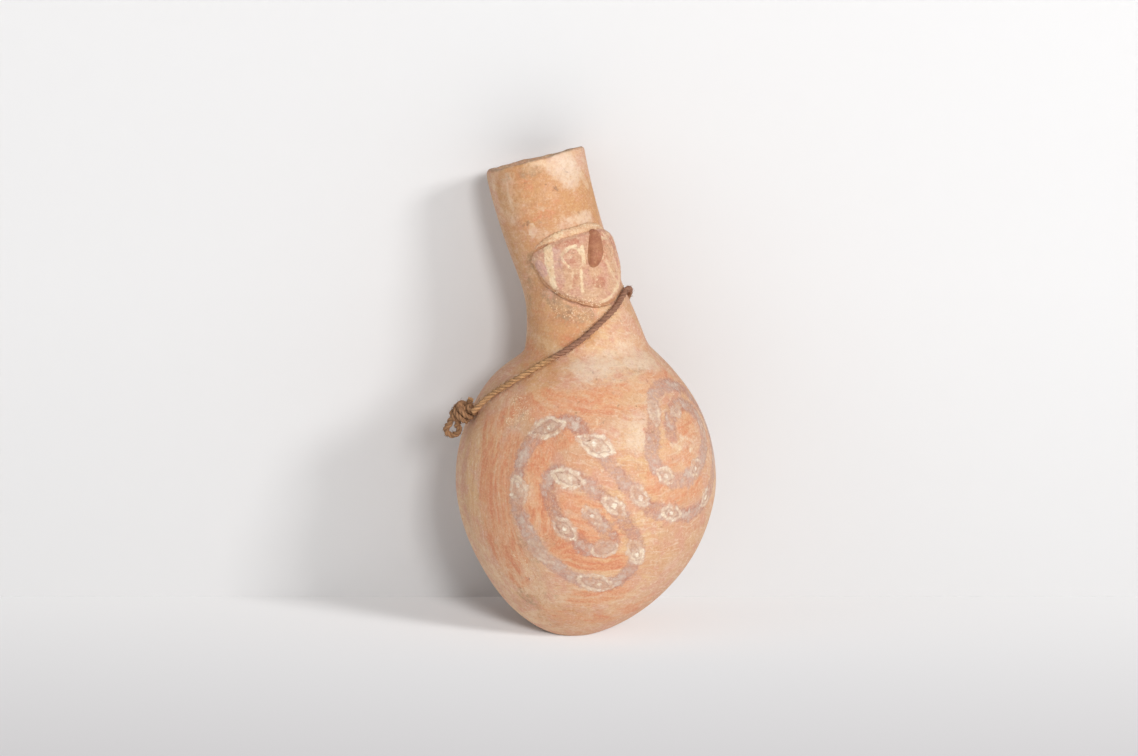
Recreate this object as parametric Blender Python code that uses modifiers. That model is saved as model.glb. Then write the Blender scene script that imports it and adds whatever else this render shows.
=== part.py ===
"""Figural clay bottle: a hand-built earthenware bottle with a face on its leaning neck and a cord tied round it.

The clay is modelled as the pieces that a potter lutes together: a bowl, a dome, the head, the spout and the lip,
then the pats of the face. Every piece follows one turned skin, which leans as the neck does.
Metres, +Z up, the origin in the middle of the flattened base, the face towards -Y.
"""

import math

import bmesh
import bpy
from mathutils import Matrix, Vector

MM = 0.001

# Heights of the clay, from the flattened base to the lip
belly_height = 63.5 * MM
dome_rise = 55.5 * MM
head_length = 52 * MM
spout_length = 18 * MM
lip_length = 6 * MM
foot_height = belly_height + dome_rise
head_top = foot_height + head_length
spout_top = head_top + spout_length
bottle_height = spout_top + lip_length

# Radii of the outer skin
base_flat_radius = 9 * MM
belly_radius = 53.5 * MM
foot_radius = 25 * MM
foot_fillet = 2.5 * MM
neck_radius = 19.4 * MM
mouth_radius = 20.5 * MM
neck_taper_length = 22 * MM
lower_curve_power = 1.75
foot_blend = 1.5 * MM
taper_blend = 0.9 * MM

# Walls
body_wall = 4.6 * MM
base_wall = 6 * MM
neck_wall = 4 * MM
lip_land = 1.8 * MM
lip_round = 1.6 * MM
clay_gap = 0.3 * MM

# How the hand-built form strays from a true turned one
belly_shift_side = 4.1 * MM
belly_shift_front = 2.9 * MM
neck_lean_side = 12.5 * MM
neck_lean_back = 18 * MM
mouth_tip_side = 13.6 * MM
mouth_tip_back = 14.4 * MM
squaring_start_share = 0.2
squaring_length_share = 0.6

# The face panel, a pat of clay pressed on the front of the head
panel_turn = -3
panel_left_reach = 66
panel_right_reach = 50
panel_seat_drop = 15 * MM
panel_height = head_top - panel_seat_drop
panel_drop = 21.3 * MM
panel_rise = 7 * MM
panel_thickness = 2.6 * MM
panel_right_extra = 1 * MM
panel_edge_share = 0.6
panel_jaw_power = 1.8
panel_brow_power = 2.5
eye_turn = 22
eye_rise = -2.6 * MM
eye_radius = 3.4 * MM
eye_swell = 0.7 * MM
chin_swell = 0.5 * MM
chin_width = 9 * MM
chin_length = 4 * MM

# The brow band above it and the nose on it
band_width = 2.7 * MM
band_thickness = 1.7 * MM
band_end_share = 0.86
nose_length = 13.6 * MM
nose_rise = 0.1 * MM
nose_turn = panel_turn + 7
nose_slant_turn = 6.9
nose_width = 6.2 * MM
nose_top_width = 5.4 * MM
nose_power = 2.6
nose_projection = 3.6 * MM
nose_top_share = 0.55

# The cord, its knot and the bight left beyond the knot
cord_diameter = 2.5 * MM
cord_clearance = 0.5 * MM
cord_step = 5.8 * MM
cord_route = [
    (-96, 100.9), (-87, 105.4), (-77, 110.5), (-67, 115.2), (-55, 119.3), (-41, 123),
    (-27, 126.4), (-13, 129.6), (2, 132.3), (12, 134.1), (21, 135.9), (32, 137.2), (45, 137.6),
    (58, 136.9), (77, 134.6), (95, 131), (114, 125.8), (133, 120), (151, 114),
    (168, 107.6), (183, 101), (197, 95), (210, 90.6), (222, 88.8), (234, 89.8),
]  # turn in degrees from the face, height in millimetres
knot_turn = -107.5
knot_height = 91.8 * MM
knot_radius = 4.6 * MM
knot_waist_share = 0.8
knot_taper_share = 1.3
knot_length = 9.8 * MM
knot_wraps = 3
knot_slant_turn = 3
knot_tip_angle = 12
knot_entry_share = 0.44
knot_entry_sink = 0.7 * MM
knot_entry_clearance = 0.35 * MM
bight_diameter = 2.6 * MM
bight_radius = 2.7 * MM
bight_drop = 4 * MM
bight_leg_offset = 1.7 * MM
bight_leg_length = 1.1 * MM
bight_opening = 130
bight_sag_angle = 22

# Fineness of the round forms
body_steps = 48
knot_steps = 16
merge_distance = 0.05 * MM
probe_length = 0.5 * MM

COLLECTION = "figural_clay_bottle"


def smooth(share):
    """Ease from 0 to 1."""
    share = min(max(share, 0), 1)
    return share * share * (3 - 2 * share)


def soft_max(first, second, blend):
    """The larger of two radii, rounded over where they cross."""
    larger = max(first, second)
    return larger + blend * math.log(
        math.exp((first - larger) / blend) + math.exp((second - larger) / blend)
    )


def lower_curve(radius, reach, height, power):
    """Radius of a superelliptic bowl whose rim is at belly_height and whose tip is reach below it."""
    share = min(max((belly_height - height) / reach, 0), 1)
    return radius * (1 - share**power) ** (1 / power)


def upper_curve(radius, reach, height):
    """Radius of an elliptic dome that stands on the belly."""
    share = min((height - belly_height) / reach, 1)
    return radius * math.sqrt(1 - share * share)


def dome_reach():
    """How high the dome would close if the neck didn't cut it."""
    foot_share = (foot_radius - foot_fillet) / belly_radius
    return dome_rise / math.sqrt(1 - foot_share * foot_share)


def bowl_reach():
    """How far below the belly the bowl would close if its tip weren't flattened."""
    flat_share = base_flat_radius / belly_radius
    return belly_height / (1 - flat_share**lower_curve_power) ** (1 / lower_curve_power)


def neck_skin(height):
    """Outer radius of the neck: a cone off the foot, then a tube that flares a little to the mouth."""
    slope = (foot_radius - neck_radius) / neck_taper_length
    cone = foot_radius - slope * (height - foot_height)
    flare_start = foot_height + neck_taper_length
    flare = smooth((height - flare_start) / (bottle_height - flare_start))
    tube = neck_radius + (mouth_radius - neck_radius) * flare
    return soft_max(cone, tube, taper_blend)


def skin_radius(height):
    """Outer radius of the upright turned form."""
    if height <= belly_height:
        return lower_curve(belly_radius, bowl_reach(), height, lower_curve_power)
    dome = upper_curve(belly_radius, dome_reach(), height)
    return soft_max(dome, neck_skin(height), foot_blend)


def bore_radius(height):
    """Inner radius of the upright turned form."""
    inner_belly = belly_radius - body_wall
    if height <= belly_height:
        return lower_curve(inner_belly, belly_height - base_wall, height, lower_curve_power)
    dome = upper_curve(inner_belly, dome_reach() - body_wall, height)
    return soft_max(dome, neck_skin(height) - neck_wall, foot_blend)


def ring_centre(height):
    """Where the middle of the ring at this height lies, as the belly strays and the neck leans."""
    belly_share = 1 - (1 - min(height / belly_height, 1)) ** 3
    neck_share = (height - foot_height) / (bottle_height - foot_height)
    lean_share = 0.5 * max(neck_share, 0) + 0.5 * smooth(neck_share)
    side = belly_shift_side * belly_share - neck_lean_side * lean_share
    back = neck_lean_back * lean_share - belly_shift_front * belly_share
    return Vector((side, back, height))


def ring_axis(height):
    """The direction that the ring at this height faces: upright on the body, tipped with the lean at the mouth."""
    neck_length = bottle_height - foot_height
    start = foot_height - squaring_start_share * neck_length
    squared = smooth((height - start) / (squaring_length_share * neck_length))
    return Vector((-mouth_tip_side * squared, mouth_tip_back * squared, neck_length)).normalized()


def lean(point):
    """Carry a point of the upright turned form to its place on the leaning bottle."""
    turn = Vector((0, 0, 1)).rotation_difference(ring_axis(point.z))
    return ring_centre(point.z) + turn @ Vector((point.x, point.y, 0))


def skin_point(turn, height):
    """The point of the outer skin at this turn from the face and this height."""
    radius, angle = skin_radius(height), math.radians(turn)
    return lean(Vector((radius * math.sin(angle), -radius * math.cos(angle), height)))


def skin_normal(turn, height):
    """The way out of the clay at this place of the skin."""
    up = skin_point(turn, height + probe_length) - skin_point(turn, height - probe_length)
    around = skin_point(turn + 1, height) - skin_point(turn - 1, height)
    return around.cross(up).normalized()


def on_skin(turn, height, lift):
    """The point that stands lift outside the clay at this turn from the face and this height."""
    return skin_point(turn, height) + lift * skin_normal(turn, height)


def degrees_for(width, height):
    """The turn that a width along the skin covers at this height."""
    return math.degrees(width / skin_radius(height))


def make_finish(name, colour, roughness):
    """A Principled material of one colour."""
    finish = bpy.data.materials.new(name)
    finish.use_nodes = True
    shader = finish.node_tree.nodes["Principled BSDF"]
    shader.inputs["Base Color"].default_value = (*colour, 1)
    shader.inputs["Roughness"].default_value = roughness
    shader.inputs["Metallic"].default_value = 0
    finish.diffuse_color = (*colour, 1)
    return finish


def add_piece(name, data, seat, finish, carrier):
    """Put a mesh or curve in the collection as one piece, with its own origin on its seat."""
    data.materials.clear()
    data.materials.append(finish)
    piece = bpy.data.objects.new(name, data)
    bpy.data.collections[COLLECTION].objects.link(piece)
    piece.location = seat
    piece.parent = carrier
    return piece


def shade_round(mesh):
    """Smooth the mesh, with its seam edges left sharp."""
    mesh.shade_smooth()
    mesh.set_sharp_from_angle(angle=math.radians(40))


def turned_mesh(name, outline, steps):
    """Turn an outline of (radius, height) points, which runs down its outer side and up its inner one."""
    profile_mesh = bpy.data.meshes.new(name + "_profile")
    on_axis = [radius == 0 for radius, _ in outline]
    follow = [(i, (i + 1) % len(outline)) for i in range(len(outline))]
    edges = [(i, j) for i, j in follow if not (on_axis[i] and on_axis[j])]
    profile_mesh.from_pydata([(radius, 0, height) for radius, height in outline], edges, [])
    profile = bpy.data.objects.new(name + "_profile", profile_mesh)
    bpy.context.scene.collection.objects.link(profile)
    screw = profile.modifiers.new("Turn", "SCREW")
    screw.steps = steps
    screw.render_steps = steps
    screw.use_merge_vertices = True
    screw.merge_threshold = merge_distance
    graph = bpy.context.evaluated_depsgraph_get()
    mesh = bpy.data.meshes.new_from_object(profile.evaluated_get(graph))
    mesh.name = name
    bpy.data.objects.remove(profile)
    bpy.data.meshes.remove(profile_mesh)
    return mesh


def leaning_piece(name, outline, seat_height, finish, carrier):
    """A turned piece of the clay, leaned with the bottle, its origin in the middle of its lower seat."""
    mesh = turned_mesh(name, outline, body_steps)
    seat = ring_centre(seat_height)
    for vertex in mesh.vertices:
        vertex.co = lean(vertex.co) - seat
    shade_round(mesh)
    return add_piece(name, mesh, seat, finish, carrier)


def even_steps(start, end, count):
    """Count + 1 values from start to end."""
    return [start + (end - start) * i / count for i in range(count + 1)]


def bowl_outline():
    """The lower half of the body: a thick flattened base that thins up to the belly."""
    seam = belly_height - clay_gap / 2
    end = math.acos((base_flat_radius / belly_radius) ** (lower_curve_power / 2))
    angles = even_steps(0, end, 14)
    drops = [bowl_reach() * math.sin(angle) ** (2 / lower_curve_power) for angle in angles[1:-1]]
    outer = [(skin_radius(belly_height - drop), belly_height - drop) for drop in drops]
    inner_reach = belly_height - base_wall
    angles = even_steps(math.pi / 2, 0, 11)
    drops = [inner_reach * math.sin(angle) ** (2 / lower_curve_power) for angle in angles[1:-1]]
    inner = [(bore_radius(belly_height - drop), belly_height - drop) for drop in drops]
    top_outer, top_inner = (skin_radius(seam), seam), (bore_radius(seam), seam)
    return [top_outer, *outer, (base_flat_radius, 0), (0, 0), (0, base_wall), *inner, top_inner]


def ring_outline(low, high, outer_count, inner_count):
    """A length of the wall between two heights, cut square at both seams."""
    outer = [(skin_radius(height), height) for height in even_steps(high, low, outer_count)]
    inner = [(bore_radius(height), height) for height in even_steps(low, high, inner_count)]
    return outer + inner


def lip_outline(low, high):
    """The lip coil: square below, rounded to a narrow flat land above."""
    outer_radius, inner_radius = skin_radius(high), bore_radius(high)
    middle = (outer_radius + inner_radius) / 2
    quarter = even_steps(0, math.pi / 2, 4)
    reach = (outer_radius - inner_radius - lip_land) / 2
    shoulder = high - lip_round
    outer = [
        (middle + lip_land / 2 + reach * math.cos(a), shoulder + lip_round * math.sin(a))
        for a in reversed(quarter)
    ]
    inner = [
        (middle - lip_land / 2 - reach * math.cos(a), shoulder + lip_round * math.sin(a))
        for a in quarter
    ]
    return [*outer, (skin_radius(low), low), (bore_radius(low), low), *inner]


def panel_reach(turn):
    """How far round the panel goes on this side of its middle."""
    return panel_left_reach if turn < panel_turn else panel_right_reach


def panel_edge(angle):
    """The panel's edge as (turn, height): a broad jaw below and a nearly straight brow above."""
    across, along = math.cos(angle), math.sin(angle)
    power = panel_brow_power if along > 0 else panel_jaw_power
    reach = panel_right_reach if across > 0 else panel_left_reach
    rise = panel_rise if along > 0 else panel_drop
    share = (abs(across) ** power + abs(along) ** power) ** (-1 / power)
    return panel_turn + reach * across * share, panel_height + rise * along * share


def panel_share(turn, height):
    """0 at the panel's middle and 1 at its edge."""
    power = panel_brow_power if height > panel_height else panel_jaw_power
    rise = panel_rise if height > panel_height else panel_drop
    across = abs(turn - panel_turn) / panel_reach(turn)
    along = abs(height - panel_height) / rise
    return min((across**power + along**power) ** (1 / power), 1)


def swell(turn, height, at_turn, at_height, width, length):
    """A low round swelling of 1 at its middle."""
    across = math.radians(turn - at_turn) * skin_radius(height) / width
    along = (height - at_height) / length
    return math.exp(-across * across - along * along)


def panel_lift(turn, height):
    """How far the panel's face stands out from the neck, with the eyes and the chin swelling it."""
    share = panel_share(turn, height)
    right_share = smooth((turn - panel_turn) / panel_right_reach)
    thickness = panel_thickness + panel_right_extra * right_share
    lift = clay_gap + thickness * (1 - (1 - panel_edge_share) * share**6)
    eye_height = panel_height + eye_rise
    for side in (-1, 1):
        eye = swell(turn, height, panel_turn + side * eye_turn, eye_height, eye_radius, eye_radius)
        lift += eye_swell * eye * (1 - share**4)
    chin_height = panel_height - panel_drop + chin_length
    return lift + chin_swell * swell(turn, height, panel_turn, chin_height, chin_width, chin_length)


def nose_edge(angle):
    """The nose's edge as (turn, height): a blunt drop that is a little broader below."""
    across, along = math.cos(angle), math.sin(angle)
    share = (abs(across) ** nose_power + abs(along) ** nose_power) ** (-1 / nose_power)
    height = panel_height + nose_rise + nose_length / 2 * along * share
    width = nose_width + (nose_top_width - nose_width) * (1 + along * share) / 2
    middle_turn = nose_turn + nose_slant_turn * along * share
    return middle_turn + degrees_for(width / 2, height) * across * share, height


def nose_lift(turn, height, share):
    """How far the nose stands out: a ridge that grows towards its lower end."""
    upper_share = (height - panel_height - nose_rise) / nose_length + 0.5
    growth = 1 + (nose_top_share - 1) * smooth(upper_share)
    root = panel_lift(turn, height) + clay_gap
    return root + nose_projection * growth * math.sqrt(1 - 0.93 * share * share)


def pressed_pat(name, edge, middle, under, over, rings, spokes, finish, carrier):
    """A pat of clay pressed on the skin: under and over give the lifts of its two sides at (turn, height, share)."""
    seat = on_skin(*middle, clay_gap)
    form = bmesh.new()
    rims = []
    for lift in (under, over):
        pole = form.verts.new(on_skin(*middle, lift(*middle, 0)) - seat)
        inner = [pole] * spokes
        for ring in range(1, rings + 1):
            share = math.sin(math.pi / 2 * ring / rings)
            outer = []
            for spoke in range(spokes):
                edge_turn, edge_height = edge(2 * math.pi * spoke / spokes)
                turn = middle[0] + (edge_turn - middle[0]) * share
                height = middle[1] + (edge_height - middle[1]) * share
                outer.append(form.verts.new(on_skin(turn, height, lift(turn, height, share)) - seat))
            for i in range(spokes):
                j = (i + 1) % spokes
                corners = [inner[i], outer[i], outer[j], inner[j]]
                form.faces.new(corners if inner[i] is not inner[j] else corners[:3])
            inner = outer
        rims.append(inner)
    for i in range(spokes):
        j = (i + 1) % spokes
        form.faces.new([rims[0][i], rims[1][i], rims[1][j], rims[0][j]])
    return finish_form(name, form, seat, finish, carrier)


def finish_form(name, form, seat, finish, carrier):
    """Turn a built form into a piece whose faces point out."""
    bmesh.ops.recalc_face_normals(form, faces=form.faces)
    mesh = bpy.data.meshes.new(name)
    form.to_mesh(mesh)
    form.free()
    shade_round(mesh)
    return add_piece(name, mesh, seat, finish, carrier)


def face_panel(finish, carrier):
    """The face's pat of clay."""
    middle = (panel_turn, panel_height - (panel_drop - panel_rise) / 2)

    def over(turn, height, _share):
        return panel_lift(turn, height)

    return pressed_pat(
        "face_panel", panel_edge, middle, lambda *_: clay_gap, over, 9, 52, finish, carrier
    )


def nose(finish, carrier):
    """The nose, seated on the panel's face."""
    middle = (nose_turn, panel_height + nose_rise)

    def under(turn, height, _share):
        return panel_lift(turn, height) + clay_gap

    return pressed_pat("nose", nose_edge, middle, under, nose_lift, 5, 20, finish, carrier)


def brow_band(finish, carrier):
    """A coil laid on the neck along the panel's upper edge, its ends thinned out."""
    stations = 36
    arc = even_steps(0, math.pi, 5)
    form = bmesh.new()
    first_turn = panel_turn - panel_left_reach * band_end_share
    last_turn = panel_turn + panel_right_reach * band_end_share
    seat = on_skin(panel_turn, panel_height + panel_rise, clay_gap)
    sections = []
    for i, turn in enumerate(even_steps(first_turn, last_turn, stations)):
        thinning = smooth(4 * min(i, stations - i) / stations) * 0.6 + 0.4
        share = abs(turn - panel_turn) / panel_reach(turn)
        edge_rise = panel_rise * (1 - share**panel_brow_power) ** (1 / panel_brow_power)
        centre = panel_height + edge_rise + band_width / 2 + 2 * clay_gap
        section = []
        for angle in arc:
            height = centre + thinning * band_width / 2 * math.cos(angle)
            lift = clay_gap + thinning * band_thickness * math.sin(angle) ** 0.7
            section.append(form.verts.new(on_skin(turn, height, lift) - seat))
        sections.append(section)
    for near, far in zip(sections, sections[1:]):
        for i in range(len(arc)):
            j = (i + 1) % len(arc)
            form.faces.new([near[i], near[j], far[j], far[i]])
    form.faces.new(sections[0])
    form.faces.new(sections[-1])
    return finish_form("brow_band", form, seat, finish, carrier)


def smooth_route(points, step):
    """Points about one step apart on a smooth curve through the given ones."""
    padded = [2 * points[0] - points[1], *points, 2 * points[-1] - points[-2]]
    fine = []
    for before, start, end, after in zip(padded, padded[1:], padded[2:], padded[3:]):
        for k in range(12):
            t = k / 12
            fine.append(
                0.5 * (2 * start + (end - before) * t)
                + 0.5 * (2 * before - 5 * start + 4 * end - after) * t * t
                + 0.5 * (3 * start - before - 3 * end + after) * t**3
            )
    fine.append(points[-1])
    lengths = [0]
    for start, end in zip(fine, fine[1:]):
        lengths.append(lengths[-1] + (end - start).length)
    count = max(round(lengths[-1] / step), 2)
    route, i = [], 0
    for target in even_steps(0, lengths[-1], count):
        while i < len(fine) - 2 and lengths[i + 1] < target:
            i += 1
        share = (target - lengths[i]) / (lengths[i + 1] - lengths[i])
        route.append(fine[i].lerp(fine[i + 1], min(share, 1)))
    return route


def cord_piece(name, points, diameter, finish, carrier):
    """A round cord along the points, its ends cut square."""
    seat = points[0]
    data = bpy.data.curves.new(name, "CURVE")
    data.dimensions = "3D"
    data.bevel_depth = diameter / 2
    data.bevel_resolution = 2
    data.use_fill_caps = True
    spline = data.splines.new("POLY")
    spline.points.add(len(points) - 1)
    for spline_point, point in zip(spline.points, points):
        spline_point.co = (*(point - seat), 1)
    return add_piece(name, data, seat, finish, carrier)


def cord_loop(finish, carrier):
    """The cord from one side of the knot round the neck to the other side."""
    lift = cord_diameter / 2 + cord_clearance
    middle, along, out = knot_frame()
    entry = middle - along * knot_entry_share * knot_length - out * knot_entry_sink
    side = out.cross(along) * (knot_radius + knot_entry_clearance)
    points = [on_skin(turn, height * MM, lift) for turn, height in cord_route]
    points = [entry + side, *points, entry - side]
    return cord_piece("cord_loop", smooth_route(points, cord_step), cord_diameter, finish, carrier)


def knot_frame():
    """The knot's middle, the way its barrel points, and the way out from the clay across the barrel."""
    normal = skin_normal(knot_turn, knot_height)
    above = skin_point(knot_turn + knot_slant_turn, knot_height + knot_length / 2)
    below = skin_point(knot_turn - knot_slant_turn, knot_height - knot_length / 2)
    side = normal.cross(below - above).normalized()
    angle = math.radians(knot_tip_angle)
    tip = Matrix.Rotation(-angle, 3, side)
    middle = on_skin(knot_turn, knot_height, knot_radius + cord_clearance)
    return middle, tip @ side.cross(normal), tip @ normal


def cord_knot(finish, carrier):
    """The knot: a barrel of wraps, turned about the way it points."""
    middle, along, _ = knot_frame()
    waist = knot_radius * knot_waist_share
    heights = even_steps(knot_length / 2, -knot_length / 2, 4 * knot_wraps)
    outline = [(0, heights[0])]
    for height in heights:
        wrap = (0.5 - height / knot_length) * knot_wraps
        taper = math.sqrt(1 - (knot_taper_share * height / knot_length) ** 2)
        bulge = abs(math.sin(math.pi * wrap)) ** 0.7
        outline.append((taper * (waist + (knot_radius - waist) * bulge), height))
    outline.append((0, heights[-1]))
    mesh = turned_mesh("cord_knot", outline, knot_steps)
    turn = Vector((0, 0, -1)).rotation_difference(along)
    for vertex in mesh.vertices:
        vertex.co = turn @ vertex.co
    shade_round(mesh)
    return add_piece("cord_knot", mesh, middle, finish, carrier)


def cord_bight(finish, carrier):
    """The short loop of cord that hangs from the knot's far end."""
    middle, along, out = knot_frame()
    end = middle + along * (knot_length / 2 + clay_gap)
    sag = Matrix.Rotation(math.radians(bight_sag_angle), 3, out.cross(along))
    hang, across = sag @ along, sag @ out
    opening = math.radians(bight_opening)
    offset, leg = out * bight_leg_offset, along * bight_leg_length
    points = [end - offset, end - offset + leg]
    for angle in even_steps(-opening, opening, 12):
        reach = bight_drop + bight_radius * math.cos(angle)
        points.append(end + across * bight_radius * math.sin(angle) + hang * reach)
    points += [end + offset + leg, end + offset]
    return cord_piece("cord_bight", points, bight_diameter, finish, carrier)


def build():
    """Clear the scene and make the bottle."""
    for old in list(bpy.data.objects):
        bpy.data.objects.remove(old, do_unlink=True)
    collection = bpy.data.collections.new(COLLECTION)
    bpy.context.scene.collection.children.link(collection)
    bottle = bpy.data.objects.new("bottle_base_centre", None)
    bottle.empty_display_size = base_flat_radius
    collection.objects.link(bottle)

    buff_clay = make_finish("buff_earthenware", (0.6, 0.33, 0.19), 0.72)
    pink_slip = make_finish("pink_slip", (0.52, 0.29, 0.22), 0.75)
    cream_slip = make_finish("cream_slip", (0.72, 0.56, 0.38), 0.8)
    red_slip = make_finish("red_brown_slip", (0.3, 0.12, 0.07), 0.65)
    fibre = make_finish("twisted_plant_fibre", (0.4, 0.23, 0.1), 0.9)

    half_gap = clay_gap / 2
    shoulder = ring_outline(belly_height + half_gap, foot_height - half_gap, 13, 11)
    head = ring_outline(foot_height + half_gap, head_top - half_gap, 18, 10)
    spout = ring_outline(head_top + half_gap, spout_top - half_gap, 4, 3)
    lip = lip_outline(spout_top + half_gap, bottle_height)

    leaning_piece("base_bowl", bowl_outline(), 0, buff_clay, bottle)
    leaning_piece("shoulder_dome", shoulder, belly_height, buff_clay, bottle)
    leaning_piece("head_tube", head, foot_height, buff_clay, bottle)
    leaning_piece("spout_tube", spout, head_top, buff_clay, bottle)
    leaning_piece("mouth_rim", lip, spout_top, buff_clay, bottle)
    face_panel(pink_slip, bottle)
    brow_band(cream_slip, bottle)
    nose(red_slip, bottle)
    cord_loop(fibre, bottle)
    cord_knot(fibre, bottle)
    cord_bight(fibre, bottle)


build()
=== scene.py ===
"""Figural clay bottle, dressed: burnished clay, worn slip painting and the twisted cord round its neck.

Every form follows the leaning skin of the model. A place on it is a turn in degrees from the face, with +
towards +X, a height and a lift off the clay. Metres, +Z up, the face towards -Y.
"""

import logging
import math
from dataclasses import dataclass
from enum import Enum
from functools import partial
from typing import Any, Sequence

import bpy
import numpy as np
from mathutils import Matrix, Vector


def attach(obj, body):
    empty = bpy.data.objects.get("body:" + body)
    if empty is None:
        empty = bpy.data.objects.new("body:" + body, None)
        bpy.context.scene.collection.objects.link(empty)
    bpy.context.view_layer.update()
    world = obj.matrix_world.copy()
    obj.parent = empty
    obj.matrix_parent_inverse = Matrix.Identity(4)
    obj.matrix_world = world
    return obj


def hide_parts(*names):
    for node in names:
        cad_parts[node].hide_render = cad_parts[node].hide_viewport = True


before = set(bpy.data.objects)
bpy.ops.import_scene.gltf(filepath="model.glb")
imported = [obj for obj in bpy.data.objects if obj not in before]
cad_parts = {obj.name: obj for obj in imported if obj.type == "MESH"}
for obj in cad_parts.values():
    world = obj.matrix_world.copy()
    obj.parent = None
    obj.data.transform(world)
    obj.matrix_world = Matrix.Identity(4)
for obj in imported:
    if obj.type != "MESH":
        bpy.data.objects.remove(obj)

Array = np.ndarray
Mesh = bpy.types.Mesh
Material = bpy.types.Material
Piece = bpy.types.Object
Tree = bpy.types.NodeTree
Node = bpy.types.Node
Place = tuple[float, float]
Wave = tuple[float, float, float, float]

MM = 0.001
FULL_TURN = 2 * math.pi
# Clay this many mm from a painted mark is clear of it
FAR = 9.0
# How closely painted lines are marked off, and how closely the paths of the knot
LINE_STEP = 2.5 * MM
KNOT_STEP = 0.8 * MM
# The cord's section: its corners, and the grain of the fuzz on it
CORD_SIDES = 22
FUZZ_GRAIN = 1.1111111 * MM
LOG = logging.getLogger("bottle")


# Arithmetic that the forms share


def smooth(share: Array) -> Array:
    """Ease from 0 to 1 and stay there."""
    share = np.clip(share, 0, 1)
    return share * share * (3 - 2 * share)


def soft_max(first: Array, second: Array, blend: float) -> Array:
    """The larger of two radii, rounded over where they cross."""
    return blend * np.logaddexp(first / blend, second / blend)


def unit(vectors: Array) -> Array:
    """The vectors, each made 1 long."""
    return vectors / np.linalg.norm(vectors, axis=-1, keepdims=True)


def circle(count: int) -> Array:
    """Angles spaced evenly round a full turn."""
    return np.linspace(0, FULL_TURN, count, endpoint=False)


def squared(angle: Array, power: Array | float) -> Array:
    """How far off the edge of a circle of radius 1 is in each direction, once squared by a power."""
    return (np.abs(np.cos(angle)) ** power + np.abs(np.sin(angle)) ** power) ** (-1 / power)


def rotation(axis: Array, degrees: float) -> Array:
    """The matrix that turns vectors about an axis."""
    return np.array(Matrix.Rotation(math.radians(degrees), 3, Vector(axis)))


def ripple(waves: Sequence[Wave], angle: Array, level: Array | float = 0.0) -> Array:
    """Add up waves that run round the bottle.

    Args:
        waves: each wave's size, crests in a turn, phase, and how far that turns with each step of level.
        angle: where round the bottle, in radians.
        level: how far up it.

    Returns:
        The sum at each angle and level.
    """
    return sum(size * np.sin(crests * angle + phase + climb * level) for size, crests, phase, climb in waves)


def smooth_route(points: Array, step: float) -> Array:
    """Lay a smooth curve through points and mark it off evenly.

    Args:
        points: the points that it passes, one a row.
        step: about how far apart the marks are, in metres.

    Returns:
        The marks, one a row, from the first point to the last.
    """
    padded = np.vstack([2 * points[0] - points[1], points, 2 * points[-1] - points[-2]])
    span_marks = 12
    share = (np.arange(span_marks) / span_marks)[:, None]
    spans = []
    for before, start, end, after in zip(padded, padded[1:], padded[2:], padded[3:]):
        bend = 2 * before - 5 * start + 4 * end - after
        twist = 3 * start - before - 3 * end + after
        spans.append(0.5 * (2 * start + (end - before) * share + bend * share**2 + twist * share**3))
    fine = np.vstack([*spans, points[-1:]])
    lengths = np.concatenate([[0], np.cumsum(np.linalg.norm(np.diff(fine, axis=0), axis=1))])
    marks = np.linspace(0, lengths[-1], max(round(lengths[-1] / step), 2) + 1)
    return np.stack([np.interp(marks, lengths, column) for column in fine.T], axis=1)


# The skin that every piece follows


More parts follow.
